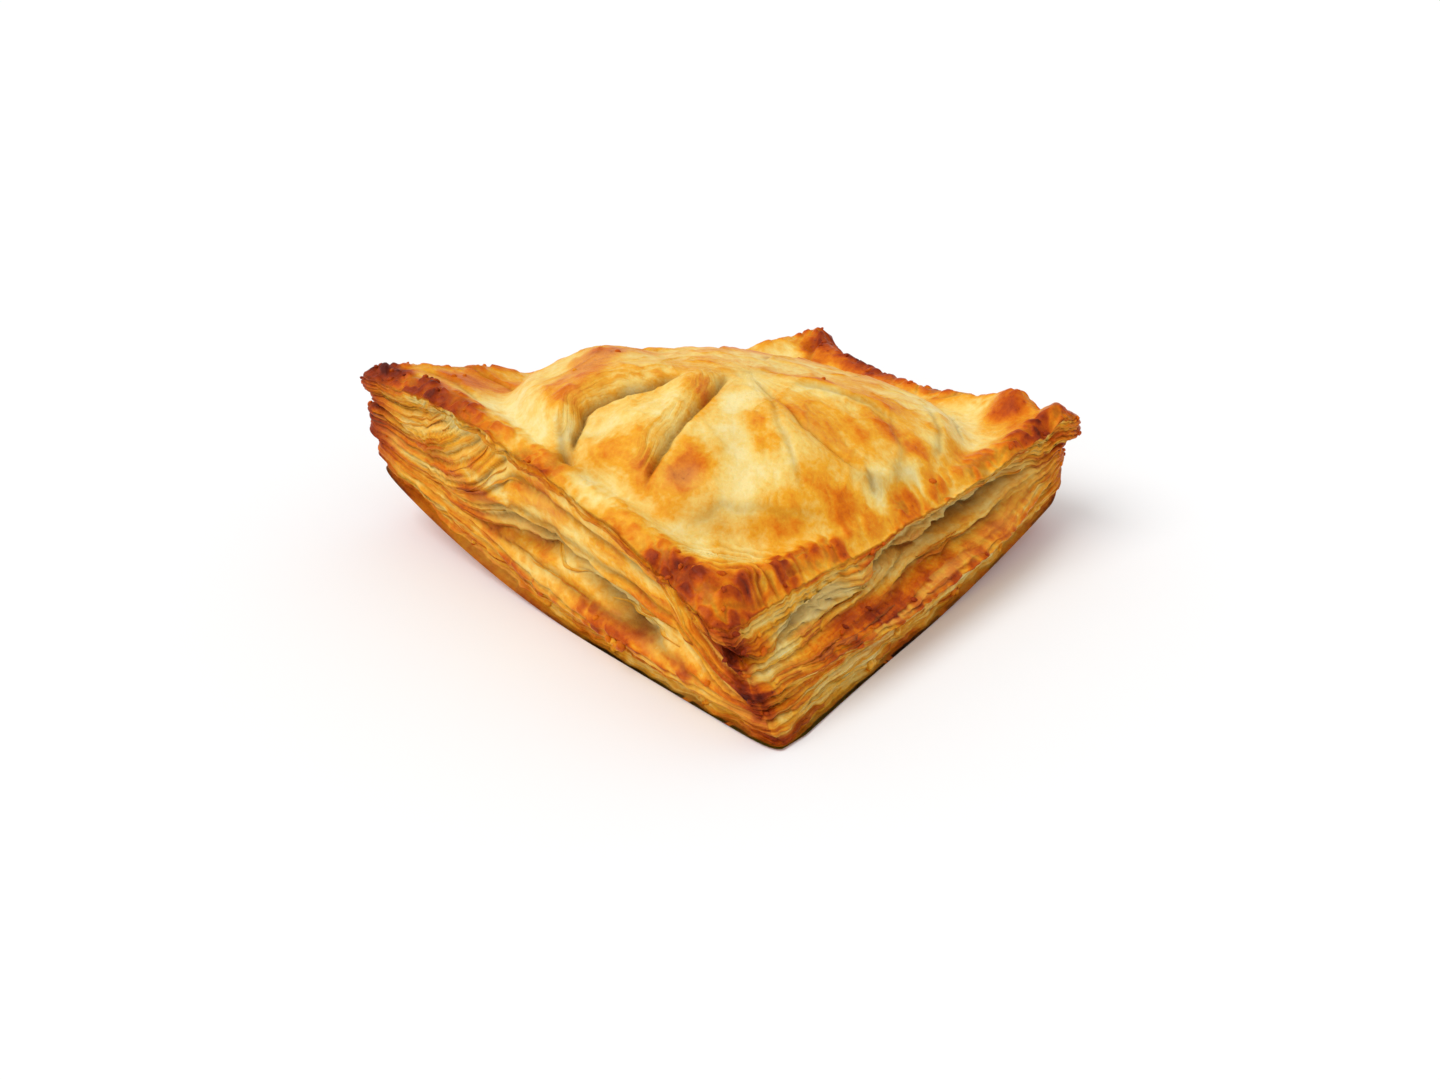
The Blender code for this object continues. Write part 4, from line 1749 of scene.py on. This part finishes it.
@dataclass(frozen=True)
class PastryFinish:
    """Egg-washed puff pastry, from pale dough to dark browned edges."""

    name: str = "baked_pastry"
    stops: tuple[tuple[float, Colour], ...] = (
        (0.00, linear(243, 223, 154)),
        (0.15, linear(240, 203, 108)),
        (0.30, linear(235, 166, 40)),
        (0.46, linear(220, 120, 10)),
        (0.62, linear(190, 80, 4)),
        (0.78, linear(148, 50, 8)),
        (1.00, linear(84, 22, 6)),
    )
    dough: Colour = linear(232, 198, 116)
    dough_share: float = 0.75
    # The dark olive brown of the painted shade in slits, gaps, mouths, creases and pits
    painted_shade_colour: Colour = linear(122, 84, 36)
    painted_shade_share: float = 0.85
    char: Colour = linear(84, 22, 4)
    char_share: float = 0.55
    char_specks: tuple[float, float] = (0.10, 0.22)
    char_browning: tuple[float, float] = (0.42, 0.75)
    blotch_noise: tuple[float, float, float] = (260.0, 4.0, 0.6)
    blotch: float = 0.36
    speck_noise: tuple[float, float, float] = (900.0, 3.0, 0.6)
    speck: float = 0.24
    streak_noise: tuple[float, float, float] = (1.0, 3.0, 0.62)
    streak: float = 0.20
    leaf_streak: float = 0.34
    roughness: float = 0.42
    blotch_roughness: float = 0.25
    dough_roughness: float = 0.15
    blotch_relief: float = 0.5
    speck_relief: float = 0.6
    streak_relief: float = 0.5
    leaf_relief: float = 1.2
    bump_depth: float = 0.0005
    bump_strength: float = 0.8
    glow: float = 0.12
    glow_depth: float = 0.0018
    glow_colours: Colour = (1.0, 0.5, 0.2)
    shine: float = 0.10

    def build(self) -> bpy.types.Material:
        """Makes the material.

        Returns:
            The material, which reads what the mesh carries from the crust's skin.
        """
        material = bpy.data.materials.new(self.name)
        tree = Tree(material)
        place = Wire(tree, tree.node("ShaderNodeTexCoord", {}, {}).outputs["Object"])
        grain = tree.attribute("grain", "Vector")
        names = ("browning", "paleness", "recess", "laminae")
        browning, paleness, recess, laminae = (tree.attribute(name) for name in names)
        blotch = tree.noise(place, *self.blotch_noise)
        speck = tree.noise(place, *self.speck_noise)
        streak = tree.noise(grain, *self.streak_noise)

        tone = browning + blotch * self.blotch + speck * self.speck
        tone = tone + streak * (laminae * self.leaf_streak + self.streak)
        ramp = tree.node("ShaderNodeValToRGB", {"stops": self.stops}, {"Fac": tone})
        colour = tree.mix(Wire(tree, ramp.outputs["Color"]), self.dough, paleness * self.dough_share)
        # Painted shade: the colour is multiplied towards dark olive brown where the mesh carries its shade
        # value
        colour = tree.mix(colour, self.painted_shade_colour, recess * self.painted_shade_share, "MULTIPLY")
        charred = speck.between(*self.char_specks) * browning.between(*self.char_browning)
        colour = tree.mix(colour, self.char, charred * self.char_share)

        height = blotch * self.blotch_relief + speck * self.speck_relief
        height = height + streak * (laminae * self.leaf_relief + self.streak_relief)
        relief = {"Height": height, "Distance": self.bump_depth, "Strength": self.bump_strength}
        values = {
            "Base Color": colour,
            "Roughness": self.roughness + blotch * self.blotch_roughness + paleness * self.dough_roughness,
            "Normal": tree.node("ShaderNodeBump", {}, relief).outputs["Normal"],
            "Subsurface Weight": self.glow,
            "Subsurface Radius": self.glow_colours,
            "Subsurface Scale": self.glow_depth,
            "Specular IOR Level": self.shine,
        }
        for name, value in values.items():
            tree.join(tree.shader.inputs[name], value)
        return material


@dataclass(frozen=True)
class PlainFinish:
    """A plain matt surface."""

    name: str
    colour: Colour
    roughness: float

    def build(self) -> bpy.types.Material:
        """Makes the material.

        Returns:
            The material.
        """
        material = bpy.data.materials.new(self.name)
        tree = Tree(material)
        tree.join(tree.shader.inputs["Base Color"], self.colour)
        tree.join(tree.shader.inputs["Roughness"], self.roughness)
        return material


@dataclass
class Leaves:
    """Thin ragged leaves of pastry that stand out of the side walls."""

    crust: Crust
    count: int = 170
    steps: int = 30
    seed: int = 7
    thickness: float = 0.00022
    root: float = 0.0009
    reach: tuple[float, float] = (0.0003, 0.0014)
    half_share: tuple[float, float] = (0.02, 0.10)
    layers: tuple[float, float] = (0.12, 0.96)
    levels: tuple[float, float] = (0.06, 0.97)
    end_gap: float = 0.02
    ends_power: float = 0.6
    waver: float = 0.02
    waver_waves: float = 9.0
    raggedness: tuple[float, float] = (0.6, 0.4)
    rag_waves: float = 60.0
    droop: float = 0.0006
    droop_waves: float = 14.0
    lowest: float = 0.0002
    tip_browning: float = 0.12
    rag_browning: float = 0.10
    paleness: float = 0.1
    ragged: Noise = field(default_factory=lambda: Noise(41))

    def sample(self, column: Array, level: Array, values: Array) -> Array:
        """Reads the wall's values between its columns and rows.

        Args:
            column: Fractional columns.
            level: Levels of the wall.
            values: The wall's values, row under row, with one or three at each point.

        Returns:
            The values there.
        """
        rows, columns = values.shape[:2]
        row = level * rows - 1
        low_row = np.clip(np.floor(row).astype(int), 0, rows - 2)
        low_column = np.floor(column).astype(int)
        part_row, part_column = row - low_row, column - low_column
        if values.ndim == 3:
            part_row, part_column = part_row[:, None], part_column[:, None]
        near, far = low_column % columns, (low_column + 1) % columns
        upper = values[low_row, near] * (1 - part_column) + values[low_row, far] * part_column
        lower = values[low_row + 1, near] * (1 - part_column) + values[low_row + 1, far] * part_column
        return upper * (1 - part_row) + lower * part_row

    def leaf(self, draw: np.random.Generator, number: int) -> Skin:
        """One leaf: a thin closed strip along the layers of one side.

        Args:
            draw: The random draws, taken in the order of the leaves.
            number: The leaf's number, which picks its own noise.

        Returns:
            Its skin, with one ring of points for each step along it.
        """
        crust, form = self.crust, self.crust.form
        side = int(draw.integers(0, 4))
        half = draw.uniform(*self.half_share)
        middle = draw.uniform(half + self.end_gap, 1.0 - self.end_gap - half)
        layer = draw.uniform(*self.layers)
        share = np.linspace(middle - half, middle + half, self.steps)
        slant = form.slant(np.full(self.steps, side), share)
        level = np.where(layer < form.slant_depth, (layer - slant) / (1 - slant / form.slant_depth), layer)
        waver = self.ragged.at(share * self.waver_waves, number * 1.3, 0.5)
        level = np.clip(level + self.waver * waver, *self.levels)
        column = (side + share) * crust.cells
        line = self.sample(column, level, crust.wall.points)
        way = np.gradient(line[:, :2], axis=0)
        normal = np.stack([way[:, 1], -way[:, 0]], axis=1)
        normal /= np.linalg.norm(normal, axis=1, keepdims=True) + 1e-12
        ends = np.sin(np.linspace(0.0, math.pi, self.steps)) ** self.ends_power
        even, uneven = self.raggedness
        wave = even + uneven * self.ragged.at(share * self.rag_waves, number * 2.1, 1.5, 2)
        out = draw.uniform(*self.reach) * ends * wave
        lift = self.droop * self.ragged.at(share * self.droop_waves, number * 1.7, 2.5, 2)
        half_thick = self.thickness * (0.4 + 0.6 * ends) / 2

        # Each place of the section: its share of the reach, of the droop and of the thickness
        section = ((0.0, 0.0, 1.0), (0.35, 0.3, 0.9), (1.0, 1.0, 0.3))
        profile = section + tuple((depth, drop, -thick) for depth, drop, thick in reversed(section))
        rings = []
        for depth, drop, thick in profile:
            away = out * depth if depth > 0 else np.full(self.steps, -self.root)
            ring = line.copy()
            ring[:, :2] += normal * away[:, None]
            ring[:, 2] = np.maximum(ring[:, 2] + lift * drop + half_thick * thick, self.lowest)
            rings.append(ring)
        depths = np.array([depth for depth, _, _ in profile])
        browning = self.sample(column, level, crust.wall.browning) + self.rag_browning * wave
        browning = browning[:, None] + self.tip_browning * depths
        zero = np.zeros_like(browning)
        grain = np.stack([share[:, None] * 14 + zero, layer * 60 + 2 * depths + zero, 60.0 + zero], axis=-1)
        paleness, laminae = zero + self.paleness, zero + 1.0
        return Skin(np.stack(rings, axis=1), browning, paleness, zero, laminae, grain)

    def build(self, material: bpy.types.Material) -> bpy.types.Object:
        """Builds all the leaves as one piece.

        Args:
            material: The finish.

        Returns:
            The piece.
        """
        draw = np.random.default_rng(self.seed)
        skins, faces, start = [], [], 0
        for number in range(self.count):
            skin = self.leaf(draw, number)
            index = start + np.arange(skin.browning.size).reshape(skin.browning.shape)
            after = np.roll(index, -1, axis=1)
            faces += grid_faces(index[:-1], after[:-1], after[1:], index[1:]).tolist()
            faces += [index[0][::-1].tolist(), index[-1].tolist()]
            skins.append(skin)
            start += index.size
        return make_piece("leaves", Skin.join(skins), faces, material)


class Cluster(NamedTuple):
    """A few flakes that cling together on a side wall."""

    side: Side
    share: float
    level: float
    spread: float
    count: int
    growth: float


@dataclass
class Flakes:
    """Small loose flakes and crumbs that cling to the rims, the lips and the lower edge."""

    crust: Crust
    count: int = 120
    seed: int = 19
    size: tuple[float, float] = (0.0004, 0.0010)
    length: tuple[float, float] = (0.75, 1.2)
    width: tuple[float, float] = (0.5, 0.85)
    domed: float = 0.00045
    tilt: float = 0.25
    sides: int = 8
    rings: tuple[tuple[float, float], ...] = ((1.0, -0.5), (0.9, 0.3), (0.45, 0.9))
    lowest: float = 0.0002
    clear_height: float = 0.0025
    clear_browning: float = 0.45
    darker: tuple[float, float] = (0.05, 0.08)
    tones: tuple[float, float] = (0.25, 0.85)
    grain_scale: float = 300.0
    clusters: tuple[Cluster, ...] = (
        Cluster(Side.LEFT, 0.66, 0.80, 0.0020, 9, 1.8),
        Cluster(Side.LEFT, 0.62, 0.92, 0.0018, 8, 1.8),
        Cluster(Side.LEFT, 0.475, 0.95, 0.0012, 5, 1.5),
        Cluster(Side.LEFT, 0.30, 0.96, 0.0010, 4, 1.2),
        Cluster(Side.LEFT, 0.80, 0.97, 0.0010, 4, 1.2),
        Cluster(Side.FRONT, 0.585, 0.97, 0.0012, 5, 1.6),
        Cluster(Side.FRONT, 0.325, 0.94, 0.0012, 5, 1.4),
        Cluster(Side.FRONT, 0.73, 0.95, 0.0012, 5, 1.5),
        Cluster(Side.FRONT, 0.86, 0.95, 0.0010, 4, 1.2),
        Cluster(Side.FRONT, 0.40, 0.80, 0.0012, 4, 1.0),
    )

    def places(self, draw: np.random.Generator) -> list[tuple[int, float]]:
        """Chooses where the flakes sit: at random over what is browned, and in the clusters.

        Args:
            draw: The random draws.

        Returns:
            The crust's points that carry a flake, and how much larger than usual each is.
        """
        skin, crust = self.crust.skin, self.crust
        clear = (skin.points[:, 2] > self.clear_height) & (skin.browning > self.clear_browning)
        weight = np.where(clear, skin.browning, 0.0)
        loose = draw.choice(len(weight), self.count, replace=False, p=weight / weight.sum())
        chosen = [(place, 1.0) for place in loose]
        wall_start = (crust.cells + 1) ** 2
        for cluster in self.clusters:
            column = int((cluster.side.value + cluster.share) * crust.cells)
            row = int(cluster.level * crust.walls.rows - 1)
            middle = wall_start + row * 4 * crust.cells + column
            near = np.linalg.norm(skin.points - skin.points[middle], axis=1) < cluster.spread
            chosen += [(place, cluster.growth) for place in draw.choice(np.flatnonzero(near), cluster.count)]
        return chosen

    def flake(self, place: int, growth: float, draw: np.random.Generator) -> Skin:
        """One flake: a low uneven dome with its rim sunk in the crust.

        Args:
            place: The crust's point that it sits on.
            growth: How much larger than usual it is.
            draw: The random draws.

        Returns:
            Its skin, ring after ring from its rim to its top.
        """
        skin = self.crust.skin
        out = Vector(self.crust.normals[place] + draw.normal(0.0, self.tilt, 3)).normalized()
        first = out.orthogonal().normalized()
        second = out.cross(first)
        radius = growth * draw.uniform(*self.size)
        turn = draw.uniform(0.0, 2 * math.pi)
        centre = Vector(skin.points[place])
        points = []
        for width, rise in self.rings:
            for corner in range(self.sides):
                angle = turn + 2 * math.pi * corner / self.sides
                long, short = radius * draw.uniform(*self.length), radius * draw.uniform(*self.width)
                spoke = first * math.cos(angle) * long + second * math.sin(angle) * short
                points.append(centre + spoke * width + out * self.domed * growth * rise)
        points = np.array(points)
        points[:, 2] = np.maximum(points[:, 2], self.lowest)
        tone = np.clip(skin.browning[place] + draw.normal(*self.darker), *self.tones)
        zero = np.zeros(len(points))
        return Skin(points, zero + tone, zero, zero, zero, points * self.grain_scale)

    def build(self, material: bpy.types.Material) -> bpy.types.Object:
        """Builds all the flakes as one piece.

        Args:
            material: The finish.

        Returns:
            The piece.
        """
        draw = np.random.default_rng(self.seed)
        skins, faces = [], []
        for number, (place, growth) in enumerate(self.places(draw)):
            skins.append(self.flake(place, growth, draw))
            size = len(self.rings) * self.sides
            index = number * size + np.arange(size).reshape(-1, self.sides)
            after = np.roll(index, -1, axis=1)
            faces += grid_faces(index[:-1], after[:-1], after[1:], index[1:]).tolist()
            faces += [index[0][::-1].tolist(), index[-1].tolist()]
        return make_piece("flakes", Skin.join(skins), faces, material)


@dataclass(frozen=True)
class BroadLight:
    """A broad soft light: the direction that it comes from, its strength and its width in degrees."""

    name: str
    towards: tuple[float, float, float]
    strength: float
    width: float


@dataclass
class Studio:
    """The plain floor, the soft lights and the camera."""

    azimuth: float = 45.0
    elevation: float = 27.5
    distance: float = 0.320
    aim: tuple[float, float, float] = (0.0, 0.0, 0.015)
    frame_shift: tuple[float, float] = (-0.0049, -0.0162)
    lens: float = 37.44
    sensor: float = 36.0
    clip: tuple[float, float] = (0.01, 20.0)
    floor_half: float = 3.0
    floor_finish: PlainFinish = PlainFinish("pale_floor", (0.92, 0.92, 0.92), 0.9)
    surround: float = 0.74
    lights: tuple[BroadLight, ...] = (BroadLight("key_light", (-0.22, -0.66, 1.00), 1.45, 40.0),)

    def floor(self) -> bpy.types.Object:
        """Lays the floor that the puff rests on.

        Returns:
            The floor.
        """
        corners = [(x * self.floor_half, y * self.floor_half, 0.0) for x, y in CORNER_SIGNS]
        mesh = bpy.data.meshes.new("floor")
        mesh.from_pydata(corners, [], [(0, 1, 2, 3)])
        mesh.materials.append(self.floor_finish.build())
        floor = bpy.data.objects.new("floor", mesh)
        bpy.context.scene.collection.objects.link(floor)
        return floor

    def light(self) -> None:
        """Hangs the lights and makes the surroundings white."""
        scene = bpy.context.scene
        for plan in self.lights:
            lamp = bpy.data.lights.new(plan.name, "SUN")
            lamp.energy, lamp.angle = plan.strength, math.radians(plan.width)
            light = bpy.data.objects.new(plan.name, lamp)
            light.location = plan.towards
            light.rotation_euler = Vector(plan.towards).to_track_quat("Z", "Y").to_euler()
            scene.collection.objects.link(light)
        world = bpy.data.worlds.new("white_surround")
        world.use_nodes = True
        background = world.node_tree.nodes["Background"]
        background.inputs["Color"].default_value = (1.0, 1.0, 1.0, 1.0)
        background.inputs["Strength"].default_value = self.surround
        scene.world = world
        scene.view_settings.view_transform = "Standard"

    def camera(self) -> bpy.types.Object:
        """Places the camera at the photograph's angle.

        Returns:
            The camera.
        """
        turn, rise = math.radians(self.azimuth), math.radians(self.elevation)
        back = Vector((math.sin(turn) * math.cos(rise), -math.cos(turn) * math.cos(rise), math.sin(rise)))
        right = Vector((math.cos(turn), math.sin(turn), 0.0))
        up = back.cross(right)
        place = Vector(self.aim) + back * self.distance
        target = Vector(self.aim) + right * self.frame_shift[0] + up * self.frame_shift[1]
        data = bpy.data.cameras.new("camera")
        data.lens, data.sensor_width = self.lens, self.sensor
        data.clip_start, data.clip_end = self.clip
        camera = bpy.data.objects.new("camera", data)
        camera.location = place
        camera.rotation_euler = (target - place).to_track_quat("-Z", "Y").to_euler()
        bpy.context.scene.collection.objects.link(camera)
        bpy.context.scene.camera = camera
        return camera

    def build(self) -> None:
        """Sets up the whole studio."""
        self.floor()
        self.light()
        self.camera()


def report(piece: bpy.types.Object) -> None:
    """Reports a piece's faces and size through the log."""
    size = [round(1000 * value, 1) for value in piece.dimensions]
    LOG.info("%s: %d faces, %s mm", piece.name, len(piece.data.polygons), size)


def main() -> None:
    """Builds the puff's pieces and the studio."""
    logging.basicConfig(level=logging.INFO, format="%(name)s: %(message)s")
    Studio().build()
    pastry = PastryFinish().build()
    crust = Crust(PuffForm())
    for piece in (*crust.build(pastry), Leaves(crust).build(pastry), Flakes(crust).build(pastry)):
        report(piece)


if __name__ == "__main__":
    main()
